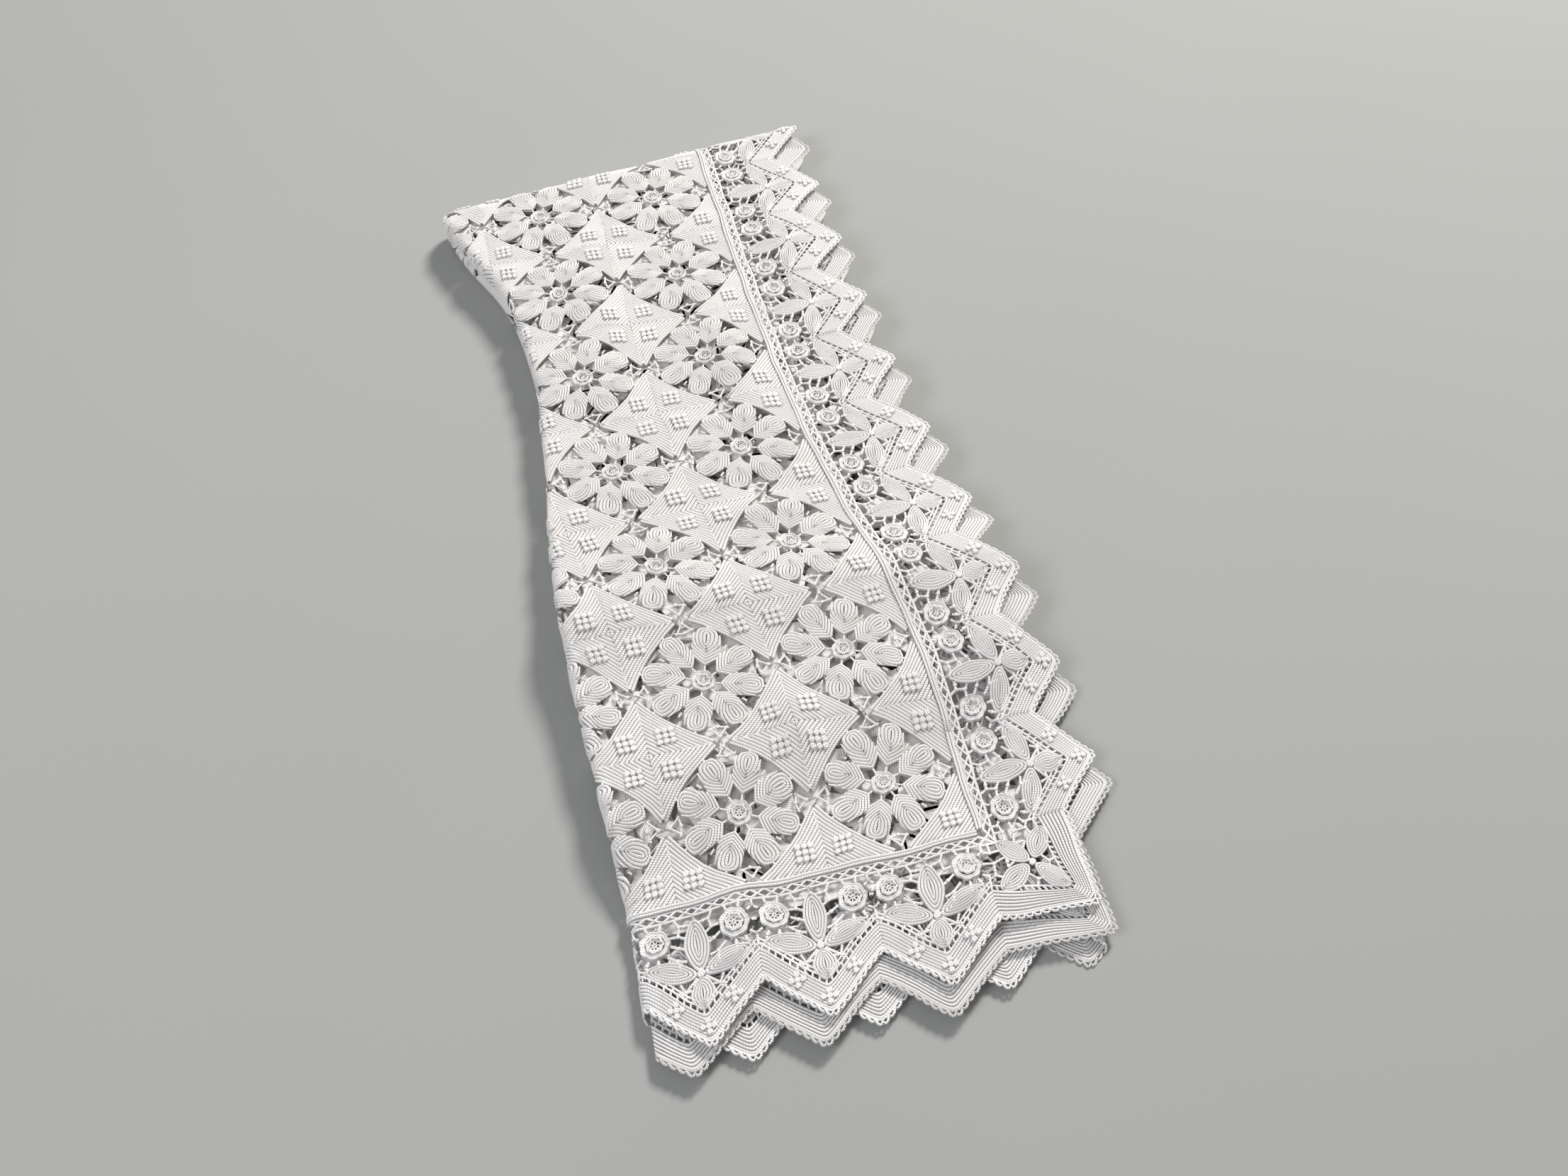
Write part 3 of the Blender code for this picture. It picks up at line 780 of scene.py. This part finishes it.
def cord(path, radius=CORD_RADIUS, sides=6, closed=False, flat=0.8):
    """A crocheted cord along a flat path."""
    path = np.array(path, float)
    if closed:
        ahead, behind = np.roll(path, -1, axis=0), np.roll(path, 1, axis=0)
    else:
        ahead, behind = np.vstack([path[1:], path[-1:]]), np.vstack([path[:1], path[:-1]])
    way = (ahead - behind)[:, :2]
    way /= np.linalg.norm(way, axis=1)[:, None]
    a = 2 * math.pi * np.arange(sides) / sides
    out = np.stack([way[:, 1], -way[:, 0]], -1)
    ring = path[:, None, :].repeat(sides, axis=1)
    ring[:, :, :2] += radius * np.cos(a)[None, :, None] * out[:, None, :]
    ring[:, :, 2] += radius * flat * np.sin(a)[None, :]
    run = np.concatenate([[0], np.linalg.norm(np.diff(path, axis=0), axis=1).cumsum()])
    # The underside gets a lower relief, so the cotton material paints it darker: painted shade under the
    # cord.
    relief = np.where(np.sin(a) > -0.1, CREST, 0.0)
    yarn = np.stack(np.broadcast_arrays(run[:, None], radius * a, relief), -1).reshape(-1, 3)
    points = ring.reshape(-1, 3)
    count = len(path)
    if closed:
        faces = grid_faces(count + 1, sides, ring=True) % (count * sides)
        return points, outward(points, faces), yarn
    k = np.arange(1, sides - 1)
    start = np.stack([0 * k, k, k + 1], -1)
    end = (count - 1) * sides + start[:, ::-1]
    faces = np.concatenate([grid_faces(count, sides, ring=True), start, end])
    return points, outward(points - points.mean(axis=0), faces), yarn


def circle(radius, height, count=20, waves=0, wave=0.0):
    """A closed path round the origin, which may be wavy."""
    a = 2 * math.pi * np.arange(count) / count
    r = radius + wave * np.cos(waves * a)
    return np.stack([r * np.cos(a), r * np.sin(a), np.full(count, height)], -1)


# A petal from the rose's middle outwards: how far through it, and the height as a share of its rise.
PETAL_PROFILE = ((0.0, 0.0), (0.12, 0.80), (0.32, 0.95), (0.52, 0.55), (0.74, 1.0), (0.92, 0.95), (1.0, 0.30))


def petal_ring(inner, outer, foot, rise, around=49):
    """A ring of petals, each a rounded lobe with a thick rim."""
    through, rim = (np.array(column)[:, None] for column in zip(*PETAL_PROFILE))
    a = 2 * math.pi * np.arange(around)[None, :] / around
    lobe = np.abs(np.cos(a * ROSE_PETALS / 2)) ** 0.6
    r = inner + (outer * (0.86 + 0.14 * lobe) - inner) * through
    top = foot + rise * rim * (0.72 + 0.28 * lobe)
    # The relief follows the rims and lobes, so the low places between them take the painted groove shade.
    relief = GROOVE + (CREST - GROOVE) * rim * (0.55 + 0.45 * lobe)
    return plate(r * np.cos(a), r * np.sin(a), top, ring=True, back_step=3, relief=relief)


def polar(r, turn, h=0.0004):
    """A place this far from the middle, in this direction in degrees."""
    return (r * math.cos(math.radians(turn)), r * math.sin(math.radians(turn)), h)


def rose(radius, full=True):
    """A rose round the origin: a pierced centre, a raised ring and a ring of petals."""
    if not full:
        a = 2 * math.pi * np.arange(10)[None, :] / 10
        r = np.array([[0.0015], [radius]])
        return plate(r * np.cos(a), r * np.sin(a), np.full((2, 10), PLAIN_TOP), ring=True)
    parts = [
        cord(circle(0.10 * radius, 0.0014, 8), 0.055 * radius, 5, True),
        cord(circle(0.37 * radius, 0.0016, 20), 0.060 * radius, 5, True),
        cord(circle(0.51 * radius, 0.0026, 35, ROSE_PETALS, 0.040 * radius), 0.090 * radius, 6, True, 1.1),
        petal_ring(0.61 * radius, radius, -0.0006, 0.0034),
    ]
    for k in range(ROSE_PETALS):
        spoke = [polar(r * radius, 360 * k / ROSE_PETALS, 0.0014) for r in (0.13, 0.36)]
        parts.append(cord(spoke, 0.040 * radius, 4))
    return joined(parts)


# Bars from a join to the leaves beside it, each a path of distances from the flower's middle and turns.
JOIN_BARS = (
    ((0.0818, 0), (0.0765, 0)),
    ((0.0767, 0), (0.0715, 3.5), (0.0655, 9.0)),
    ((0.0640, 0), (0.0655, 5.0), (0.0680, 10.0)),
)
JOIN_PICOTS = ((0.0765, 0), (0.0642, 0))


def flower_bars(full):
    """The bars of one square, round its middle."""
    sides = 6 if full else 3
    parts = []
    for k in range(4):
        for lean in (-1, 1):
            for bar in JOIN_BARS[: 3 if full else 2]:
                path = [polar(r, 90 * k + lean * turn) for r, turn in bar]
                parts.append(cord(path, CORD_RADIUS, sides))
        if full:
            for r, turn in JOIN_PICOTS:
                x, y, _ = polar(r, 90 * k + turn)
                parts.append(bobble(x, y, 0.0022, 0.0, 0.0024))
            parts.append(cord([polar(0.0555, 45 + 90 * k), polar(0.0490, 45 + 90 * k)], CORD_RADIUS, sides))
    for turn in LEAF_TURNS:
        parts.append(cord([polar(0.0128, turn, 0.0), polar(LEAF_BASE + 0.0020, turn, 0.0)], 0.0012, sides))
        parts.append(cord([polar(0.0670, turn), polar(0.0705, turn)], 0.0014, sides))
    return joined(parts)


middles = [(middle, (1.0, 0.0), (0.0, 1.0)) for middle in square_middles()]
middles_shown, middles_hidden = parted(middles, 0.0)
bars_shown = [place for place in middles if face_shows(*place[0], more=0.11)]
bars_hidden = [place for place in middles if place not in bars_shown]
flower_roses = piece(
    "flower_roses",
    joined([copies(rose(ROSE_RADIUS), middles_shown), copies(rose(ROSE_RADIUS, full=False), middles_hidden)]),
    SQUARE_COTTON,
)
flower_net = piece(
    "flower_net",
    joined([copies(flower_bars(True), bars_shown), copies(flower_bars(False), bars_hidden)]),
    SQUARE_COTTON,
)
for part in (flower_roses, flower_net):
    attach(part, "root")

# Zigzag band of the edging
# The bedspread's outer edge is a ribbed band, worked lengthwise in a zigzag, so that it makes a row of
# points. Its seven ribs turn at each point and notch. Small bunches of bobbles stand on its legs.
# The second colour is the painted shade in the grooves.
EDGING_COTTON = crocheted_cotton("crocheted_edging_cotton", "#FBF9F7", "#8C8580", STITCH)
POINTS_WIDE = 13
POINTS_LONG = 16
REPEAT = 0.125  # one point, before it is eased to fit its side
HALF = REPEAT / 2
BAND_RIBS = 7
BAND_INNER = (0.072, 0.124)  # depth of the band's inner line at the notches and at the points
BAND_OUTER = (0.1005, 0.1530)
OUTLINE = (0.106, 0.160)
TIP_HALF = 0.0035
NOTCH_BLUNT = 0.05  # how blunt a notch is, as a share of the zigzag's depth
CORNER_BLUNT = 0.03  # how blunt the corner's lobe is, as a share of its side
# Inner line, outer line and outline of the corner's lobe: depth at its notches, and at its tip both ways.
CORNER_NOTCH = (0.072, 0.1005, 0.106)
CORNER_TIP_AT = (0.090, 0.1075, 0.1135)


def zigzag(x, at, blunt=0.0025):
    """Depth of a line of the zigzag, this far from a point's axis, rounded at the point and the notch."""
    rise = (HALF - np.sqrt(x * x + blunt * blunt) + 0.3 * blunt) / (HALF - 0.7 * blunt)
    rise = np.sqrt(rise * rise + NOTCH_BLUNT**2) - NOTCH_BLUNT * (1 - np.clip(rise, 0, 1))
    return at[0] + (at[1] - at[0]) * np.minimum(rise, 1.0)


def band_columns(fine):
    """Where the band's mesh has its columns, closer where the zigzag turns."""
    steps = (0, 0.05, 0.12, 0.30, 0.50, 0.70, 0.90, 1.0) if fine else (0, 0.16, 0.5, 0.84, 1.0)
    half = [HALF * s for s in steps]
    return np.array([-x for x in half[:0:-1]] + half)


def band(fine, both_faces=False):
    """The band of one point of the edging: x along from the point's axis, y out from the edge cord."""
    through, heights = ribbed(BAND_RIBS if fine else 0, 3)
    x = band_columns(fine)[None, :]
    inner, outer = zigzag(x, BAND_INNER), zigzag(x, BAND_OUTER, TIP_HALF)
    y = inner + (outer - inner) * through[:, None]
    top = np.repeat(heights[:, None], x.shape[1], axis=1)
    return plate(x + 0 * y, y, top, both_faces=both_faces)


def corner_line(t, notch, tip):
    """A line round the corner's lobe: t from -1 at one notch to 0 at the tip and 1 at the other notch."""
    along = 1 - np.sqrt(t * t + CORNER_BLUNT**2) * (1 - CORNER_BLUNT**2 / 2)
    near, far = tip * along, notch + (tip - notch) * along
    middle = (near + far) / 2
    return np.select([t < 0, t > 0], [near, far], middle), np.select([t < 0, t > 0], [far, near], middle)


def corner_band(fine, both_faces=False):
    """The band of one corner's lobe."""
    through, heights = ribbed(BAND_RIBS if fine else 0, 3)
    t = np.linspace(-1, 1, 20 if fine else 8)[None, :]
    xi, yi = corner_line(t, CORNER_NOTCH[0], CORNER_TIP_AT[0])
    xo, yo = corner_line(t, CORNER_NOTCH[1], CORNER_TIP_AT[1])
    f = through[:, None]
    top = np.repeat(heights[:, None], t.shape[1], axis=1)
    return plate(xi + (xo - xi) * f, yi + (yo - yi) * f, top, both_faces=both_faces)


def side_places():
    """The place of each point of the edging, side by side: x along the side, y out from the cord."""
    sides = (
        ((0.0, 0.0), (0, 1), POINTS_LONG, FIELD_LONG),
        ((0.0, FIELD_LONG), (-1, 0), POINTS_WIDE, FIELD_WIDE),
        ((-FIELD_WIDE, FIELD_LONG), (0, -1), POINTS_LONG, FIELD_LONG),
        ((-FIELD_WIDE, 0.0), (1, 0), POINTS_WIDE, FIELD_WIDE),
    )
    all_sides = []
    for (x, y), (dx, dy), count, length in sides:
        fit = length / count / REPEAT
        steps = [length * (k + 0.5) / count for k in range(count)]
        all_sides.append([((x + dx * s, y + dy * s), (dx * fit, dy * fit), (dy, -dx)) for s in steps])
    return all_sides


def corner_places():
    """The place of each corner of the edging, in the order in which the sides end."""
    ends = (((0.0, FIELD_LONG), (0, 1)), ((-FIELD_WIDE, FIELD_LONG), (-1, 0)), ((-FIELD_WIDE, 0.0), (0, -1)))
    ends += (((0.0, 0.0), (1, 0)),)
    return [(corner, (dx, dy), (dy, -dx)) for corner, (dx, dy) in ends]


right_side, far_side, second_side, near_side = side_places()
edging_corners = corner_places()
top_points = [p for p in right_side if p[0][1] < FAR_FOLD + FAR_BEND]
top_points += [p for p in near_side if face_shows(*p[0], more=0.07)]
edge_points = [p for p in second_side if p[0][1] < FAR_FOLD + FAR_BEND]
lower_points = [p for p in near_side if p not in top_points]
edge_points += lower_points
inner_points = [p for p in right_side + far_side + second_side if p not in top_points + edge_points]
near_corners, far_corners = edging_corners[2:], edging_corners[:2]

edging_band = piece(
    "edging_band",
    joined(
        [
            copies(band(True), top_points),
            copies(band(True, both_faces=True), edge_points),
            copies(band(False), inner_points),
            copies(corner_band(True, both_faces=True), near_corners),
            copies(corner_band(False), far_corners),
        ]
    ),
    EDGING_COTTON,
)
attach(edging_band, "root")
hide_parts("edging")


BUNCH_AT = 0.030  # from the point's axis to the middle of a leg's bunch
BUNCH_PITCH = 0.0060
BUNCH_HALF = 0.0033
BUNCH_HIGH = 0.0030


def band_bobbles():
    """Bunches of five bobbles on one point's band: one at its tip and one on each leg."""
    parts = []
    for x in (-BUNCH_AT, 0.0, BUNCH_AT):
        y = (zigzag(x, BAND_INNER) + zigzag(x, BAND_OUTER, TIP_HALF)) / 2
        for dx, dy in ((0, 0), (1, 0), (-1, 0), (0, 1), (0, -1)):
            place = (x + dx * BUNCH_PITCH, y + dy * BUNCH_PITCH)
            parts.append(bobble(*place, BUNCH_HALF, BOBBLE_FOOT, BUNCH_HIGH))
    return joined(parts)


edging_bobbles = piece("edging_bobbles", copies(band_bobbles(), top_points), EDGING_COTTON)
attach(edging_bobbles, "root")

# Leaf sprays of the edging
# In each point four ribbed leaves spring from one knot: one towards the squares, one to each side and a
# short one into the point. Their ribs run lengthwise, nested one in the other. The corner has its own.
SPRAY_KNOT = 0.082
# A leaf's base, its tip and its half width.
SPRAY = (
    ((0.0, 0.0800), (0.0, 0.0225), 0.0138),
    ((0.0035, 0.0820), (0.0560, 0.0665), 0.0125),
    ((-0.0035, 0.0820), (-0.0560, 0.0665), 0.0125),
    ((0.0, 0.0845), (0.0, 0.1205), 0.0135),
)
CORNER_KNOT = 0.0505
CORNER_SPRAY = (
    ((0.0480, 0.0480), (0.0175, 0.0175), 0.0125),
    ((0.0530, 0.0530), (0.0850, 0.0850), 0.0120),
    ((0.0530, 0.0460), (0.0735, 0.0105), 0.0135),
    ((0.0460, 0.0530), (0.0105, 0.0735), 0.0135),
)


def long_leaf(base, tip, half_width, ribs=4, around=26, both_faces=False):
    """A pointed leaf with lengthwise nested ribs, from its base to its tip."""
    through, heights = ribbed(ribs)
    if not ribs:
        around = 10
    base, tip = np.array(base), np.array(tip)
    length = np.linalg.norm(tip - base)
    way = (tip - base) / length
    side = np.array([-way[1], way[0]])
    a = 2 * math.pi * np.arange(around)[None, :] / around
    f = np.maximum(through[:, None], 0.03)
    x = length * (0.5 + 0.5 * np.cos(a) * (0.35 + 0.65 * f))
    y = half_width * f * np.sin(a) * (1 - 0.25 * np.abs(np.cos(a)))
    relief = heights[:, None] + 0 * a
    top = relief + 0.0012 * (1 - f**2)
    u = base[0] + way[0] * x + side[0] * y
    v = base[1] + way[1] * x + side[1] * y
    return plate(u, v, top, ring=True, both_faces=both_faces, relief=relief)


def spray(leaves, knot, ribs=4, around=26, both_faces=False):
    """Leaves that spring from one knot, which is a bobble on ribbed leaves."""
    parts = [long_leaf(base, tip, half, ribs, around, both_faces) for base, tip, half in leaves]
    if ribs:
        parts.append(bobble(*knot, 0.0042, 0.0006, 0.0026))
    return joined(parts)


edging_leaves = piece(
    "edging_leaves",
    joined(
        [
            copies(spray(SPRAY, (0, SPRAY_KNOT)), top_points),
            copies(spray(SPRAY, (0, SPRAY_KNOT), 4, 16, True), lower_points),
            copies(spray(SPRAY, (0, SPRAY_KNOT), 0), [p for p in edge_points if p not in lower_points]),
            copies(spray(SPRAY, (0, SPRAY_KNOT), 0), inner_points),
            copies(spray(CORNER_SPRAY, (CORNER_KNOT, CORNER_KNOT), 4, 24, True), near_corners),
            copies(spray(CORNER_SPRAY, (CORNER_KNOT, CORNER_KNOT), 0), far_corners),
        ]
    ),
    EDGING_COTTON,
)
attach(edging_leaves, "root")

# Roses of the edging
# Between two sprays lie two roses side by side. They are worked as the flowers' roses are, a little
# larger, and the net holds them below the beading.
EDGING_ROSE = 0.0162
ROSE_AT = (0.0420, 0.0395)  # from the point's axis and from the edge cord


def moved(mesh, x, y):
    """The same flat mesh somewhere else."""
    points, faces, yarn = mesh
    return points + np.array([x, y, 0.0]), faces, yarn


def two_roses(full):
    """The roses of one point, one on each side of its spray."""
    one = rose(EDGING_ROSE, full)
    return joined([moved(one, side * ROSE_AT[0], ROSE_AT[1]) for side in (-1, 1)])


edging_roses = piece(
    "edging_roses",
    joined(
        [
            copies(two_roses(True), top_points),
            copies(two_roses(False), edge_points + inner_points),
        ]
    ),
    EDGING_COTTON,
)
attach(edging_roses, "root")

# Cord, beading, net and picots of the edging
# A cord of two ridges is worked round the joined squares. A beading row of crossed cords follows it.
# Knotted bars with picots carry the roses and leaves, two rows of small holes follow the band's inner
# side, and a scalloped row of picots its outer side.
CORD_WIDE = 0.0070
BEADING = (0.0084, 0.0175)
BEADING_HOLES = 8
NET_CORD = 0.0015
LACE_HEIGHT = 0.0003
LADDER_ROW = 0.0052
LADDER_STEP = 0.0064
SCALLOPS = 18  # in one point
CORNER_SCALLOPS = 24
# Bars of one point, all on one side of its axis.
NET_BARS = (
    ((0.0115, 0.0530), (0.0180, 0.0500), (0.0262, 0.0450)),
    ((0.0115, 0.0660), (0.0200, 0.0640), (0.0300, 0.0560)),
    ((0.0100, 0.0420), (0.0180, 0.0370), (0.0265, 0.0360)),
    ((0.0180, 0.0370), (0.0160, 0.0270), (0.0210, 0.0185)),
    ((0.0050, 0.0280), (0.0105, 0.0275), (0.0160, 0.0270)),
    ((0.0000, 0.0240), (0.0000, 0.0185)),
    ((0.0200, 0.0640), (0.0190, 0.0730)),
    ((0.0400, 0.0570), (0.0400, 0.0660)),
    ((0.0500, 0.0560), (0.0540, 0.0640)),
    ((0.0360, 0.0245), (0.0340, 0.0185)),
    ((0.0480, 0.0240), (0.0500, 0.0185)),
    ((0.0600, 0.0405), (0.0625, 0.0405)),
    ((0.0560, 0.0520), (0.0625, 0.0560), (0.0625, 0.0700)),
    ((0.0570, 0.0290), (0.0625, 0.0255), (0.0625, 0.0185)),
    ((0.0110, 0.0960), (0.0180, 0.0975), (0.0220, 0.0880)),
    ((0.0040, 0.0850), (0.0180, 0.0975), (0.0230, 0.0990)),
)
NET_PICOTS = (
    ((0.0180, 0.0370), (0.0160, 0.0270), (0.0105, 0.0275), (0.0200, 0.0640), (0.0400, 0.0615))
    + ((0.0625, 0.0560), (0.0625, 0.0255), (0.0180, 0.0500), (0.0520, 0.0600))
)


def edge_cord(fine):
    """The cord's stretch on one point: two ridges."""
    columns = 9 if fine else 3
    through, heights = ribbed(2 if fine else 0)
    x = np.linspace(-HALF, HALF, columns)[None, :]
    y = 0.0003 + CORD_WIDE * through[:, None] + 0 * x
    relief = np.repeat(heights[:, None], columns, axis=1)
    return plate(x + 0 * y, y, relief + 0.0022, relief=relief)


def zigzag_cord(low, high, count, start, radius, height):
    """A cord that runs up and down between two depths along one point."""
    x = np.linspace(-HALF, HALF, count + 1)
    y = np.where((np.arange(len(x)) + start) % 2 == 0, low, high)
    return cord(np.stack([x, y, np.full(len(x), height)], -1), radius, 6)


def straight_cord(y, radius, columns=9):
    """A cord along one point, this far from the joined squares."""
    x = np.linspace(-HALF, HALF, columns)
    return cord(np.stack([x, np.full(columns, y), np.zeros(columns)], -1), radius, 6)


def ladder():
    """Two rows of small holes along the band's inner side."""
    parts = []
    for offset in (LADDER_ROW, 2 * LADDER_ROW):
        x = np.array([-HALF, -0.047, -0.031, -0.016, 0.0, 0.016, 0.031, 0.047, HALF])
        y = zigzag(x, BAND_INNER) - offset
        parts.append(cord(np.stack([x, y, np.zeros(len(x))], -1), 0.0012, 5))
    for row in (0, 1):
        for x in np.arange(-HALF + 0.003 + 0.003 * row, HALF, LADDER_STEP):
            y = zigzag(x, BAND_INNER) - LADDER_ROW * row
            lean = 0.0010 if x < 0 else -0.0010
            parts.append(cord([(x, y + 0.0004, 0.0), (x + lean, y - 0.0056, 0.0)], 0.0011, 4))
    return parts


def scallops(line, count):
    """A row of picots between a band's outer edge and the bedspread's outline."""
    steps = 4
    t = np.arange(count * steps + 1) / (count * steps)
    out = np.abs(np.sin(math.pi * t * count)) ** 0.6
    foot, head = line(t, 0.30), line(t, 0.90)
    edge = line(t[::2], 0.06)
    path = foot + (head - foot) * out[:, None]
    return [
        cord(np.column_stack([path, np.full(len(path), LACE_HEIGHT)]), NET_CORD, 6, flat=1.0),
        cord(np.column_stack([edge, np.zeros(len(edge))]), NET_CORD, 5),
    ]


def point_line(t, through):
    """A line between the band's outer edge, at 0, and the outline, at 1, along one point."""
    x = (t - 0.5) * REPEAT
    edge, outer = zigzag(x, BAND_OUTER, TIP_HALF), zigzag(x, OUTLINE, TIP_HALF)
    return np.stack([x, edge + (outer - edge) * through], -1)


def corner_outline(t, through):
    """The same line round the corner's lobe."""
    xi, yi = corner_line(2 * t - 1, CORNER_NOTCH[1], CORNER_TIP_AT[1])
    xo, yo = corner_line(2 * t - 1, CORNER_NOTCH[2], CORNER_TIP_AT[2])
    return np.stack([xi + (xo - xi) * through, yi + (yo - yi) * through], -1)


def picot(x, y):
    """A tiny knotted loop, which reads as a small bobble."""
    return bobble(x, y, 0.0023, 0.0, 0.0022, around=6)


def net(full):
    """Bars and picots of one point."""
    parts = []
    for side in (-1, 1):
        for path in NET_BARS:
            parts.append(cord([(side * x, y, LACE_HEIGHT) for x, y in path], NET_CORD, 5 if full else 3))
        if full:
            for x, y in NET_PICOTS:
                parts.append(picot(side * x, y))
    return parts


def beading():
    """Two crossed cords between two straight ones."""
    low, high = BEADING
    return [
        zigzag_cord(low, high, BEADING_HOLES, 0, 0.0015, 0.0000),
        zigzag_cord(low, high, BEADING_HOLES, 1, 0.0015, 0.0006),
        straight_cord(low - 0.0003, 0.0014),
        straight_cord(high + 0.0006, 0.0015),
    ]


# Bars of the corner, all on one side of its diagonal.
CORNER_BARS = (
    ((0.0000, 0.0175), (0.0100, 0.0100)),
    ((0.0000, 0.0078), (0.0078, 0.0125), (0.0160, 0.0180)),
    ((0.0000, 0.0185), (0.0185, 0.0185)),
    ((0.0000, 0.0270), (0.0080, 0.0290), (0.0190, 0.0280)),
    ((0.0080, 0.0290), (0.0080, 0.0190)),
    ((-0.0030, 0.0400), (0.0090, 0.0420), (0.0235, 0.0370)),
    ((0.0090, 0.0420), (0.0080, 0.0560), (-0.0010, 0.0600)),
    ((0.0080, 0.0560), (0.0170, 0.0600)),
    ((0.0235, 0.0500), (0.0330, 0.0440)),
    ((0.0235, 0.0370), (0.0235, 0.0500)),
    ((0.0430, 0.0620), (0.0520, 0.0700), (0.0590, 0.0690)),
    ((0.0520, 0.0700), (0.0490, 0.0790)),
)
CORNER_PICOTS = ((0.0080, 0.0290), (0.0090, 0.0420), (0.0080, 0.0560), (0.0235, 0.0435), (0.0520, 0.0700))


def corner_net():
    """Bars of the corner, which tie its leaves to the beading and the band, and a row of small holes."""
    parts = []
    for path in CORNER_BARS:
        parts.append(cord([(x, y, LACE_HEIGHT) for x, y in path], NET_CORD, 5))
        parts.append(cord([(y, x, LACE_HEIGHT) for x, y in path], NET_CORD, 5))
    for x, y in CORNER_PICOTS:
        parts += [picot(x, y), picot(y, x)]
    t = np.linspace(-1, 1, 29)
    band_side = np.stack(corner_line(t, CORNER_NOTCH[0], CORNER_TIP_AT[0]), -1)
    inner_side = np.stack(corner_line(t, CORNER_NOTCH[0] - 0.0055, CORNER_TIP_AT[0] - 0.0055), -1)
    parts.append(cord(np.column_stack([inner_side, np.zeros(len(t))]), 0.0012, 5))
    for near, far in zip(band_side, inner_side):
        parts.append(cord([(*near, 0.0), (*far, 0.0)], 0.0011, 4))
    return parts


edging_net = piece(
    "edging_net",
    joined(
        [
            copies(joined([edge_cord(True), *beading(), *net(True), *ladder()]), top_points),
            copies(joined(scallops(point_line, SCALLOPS)), top_points + edge_points),
            copies(joined([edge_cord(False), *net(False)]), edge_points + inner_points),
            copies(joined(ladder()), edge_points),
            copies(joined(corner_net()), near_corners),
            copies(joined(scallops(corner_outline, CORNER_SCALLOPS)), near_corners),
        ]
    ),
    EDGING_COTTON,
)
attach(edging_net, "root")

# Floor, light and camera
# A plain pale floor, soft studio light from the upper right with a weak fill from the left, and a camera
# that looks down at the strip from its near end.
CAMERA_AT = (-0.275, -1.209, 1.553)
CAMERA_TURN = 14.7  # degrees to the right of +Y
CAMERA_DOWN = 54.0  # degrees below the horizon
LENS = 36.0
SENSOR = 36.0
FLOOR_HALF = 6.0


def matt_paper(name, colour):
    """Matt studio paper: even, with hardly any gloss."""
    material = bpy.data.materials.new(name)
    material.use_nodes = True
    tree = material.node_tree
    shader = tree.nodes["Principled BSDF"]
    place = add_node(tree, "ShaderNodeTexCoord").outputs["Object"]
    cloudy = add_node(tree, "ShaderNodeTexNoise", (), Vector=place, Scale=1.3, Detail=2.0).outputs["Fac"]
    tone = add_node(tree, "ShaderNodeMapRange", (), Value=cloudy, To_Min=0.97, To_Max=1.03).outputs["Result"]
    mixed = add_node(
        tree,
        "ShaderNodeMix",
        {"data_type": "RGBA", "blend_type": "MULTIPLY"},
        i0=1.0,
        i6=linear(colour),
        i7=tone,
    ).outputs[2]
    tree.links.new(mixed, shader.inputs["Base Color"])
    shader.inputs["Roughness"].default_value = 0.9
    return material


floor_mesh = bpy.data.meshes.new("floor")
floor_mesh.from_pydata(
    [(x * FLOOR_HALF, y * FLOOR_HALF, 0.0) for x, y in ((-1, -1), (1, -1), (1, 1), (-1, 1))],
    [],
    [(0, 1, 2, 3)],
)
floor_mesh.materials.append(matt_paper("studio_paper", "#A6A7A4"))
floor = bpy.data.objects.new("floor", floor_mesh)
bpy.context.scene.collection.objects.link(floor)


def area_light(name, at, target, size, power, colour):
    light = bpy.data.lights.new(name, "AREA")
    light.shape = "DISK"
    light.size = size
    light.energy = power
    light.color = linear(colour)[:3]
    obj = bpy.data.objects.new(name, light)
    way = Vector(target) - Vector(at)
    obj.matrix_world = Matrix.Translation(at) @ way.to_track_quat("-Z", "Y").to_matrix().to_4x4()
    bpy.context.scene.collection.objects.link(obj)


area_light("window_light", (3.9, 4.3, 4.8), (0, 0, 0), 1.8, 610, "#FFFCF8")
area_light("fill_light", (-3.6, -1.4, 3.6), (0, 0, 0), 2.4, 100, "#F6F8FF")
world = bpy.data.worlds.new("studio")
bpy.context.scene.world = world
world.use_nodes = True
world.node_tree.nodes["Background"].inputs["Color"].default_value = linear("#F4F5F7")
world.node_tree.nodes["Background"].inputs["Strength"].default_value = 0.33
bpy.context.scene.view_settings.view_transform = "Standard"

lens = bpy.data.cameras.new("camera")
lens.lens = LENS
lens.sensor_width = SENSOR
camera = bpy.data.objects.new("camera", lens)
turn, down = math.radians(CAMERA_TURN), math.radians(CAMERA_DOWN)
look = Vector((math.sin(turn) * math.cos(down), math.cos(turn) * math.cos(down), -math.sin(down)))
camera.matrix_world = Matrix.Translation(CAMERA_AT) @ look.to_track_quat("-Z", "Y").to_matrix().to_4x4()
bpy.context.scene.collection.objects.link(camera)
bpy.context.scene.camera = camera

bpy.context.view_layer.update()
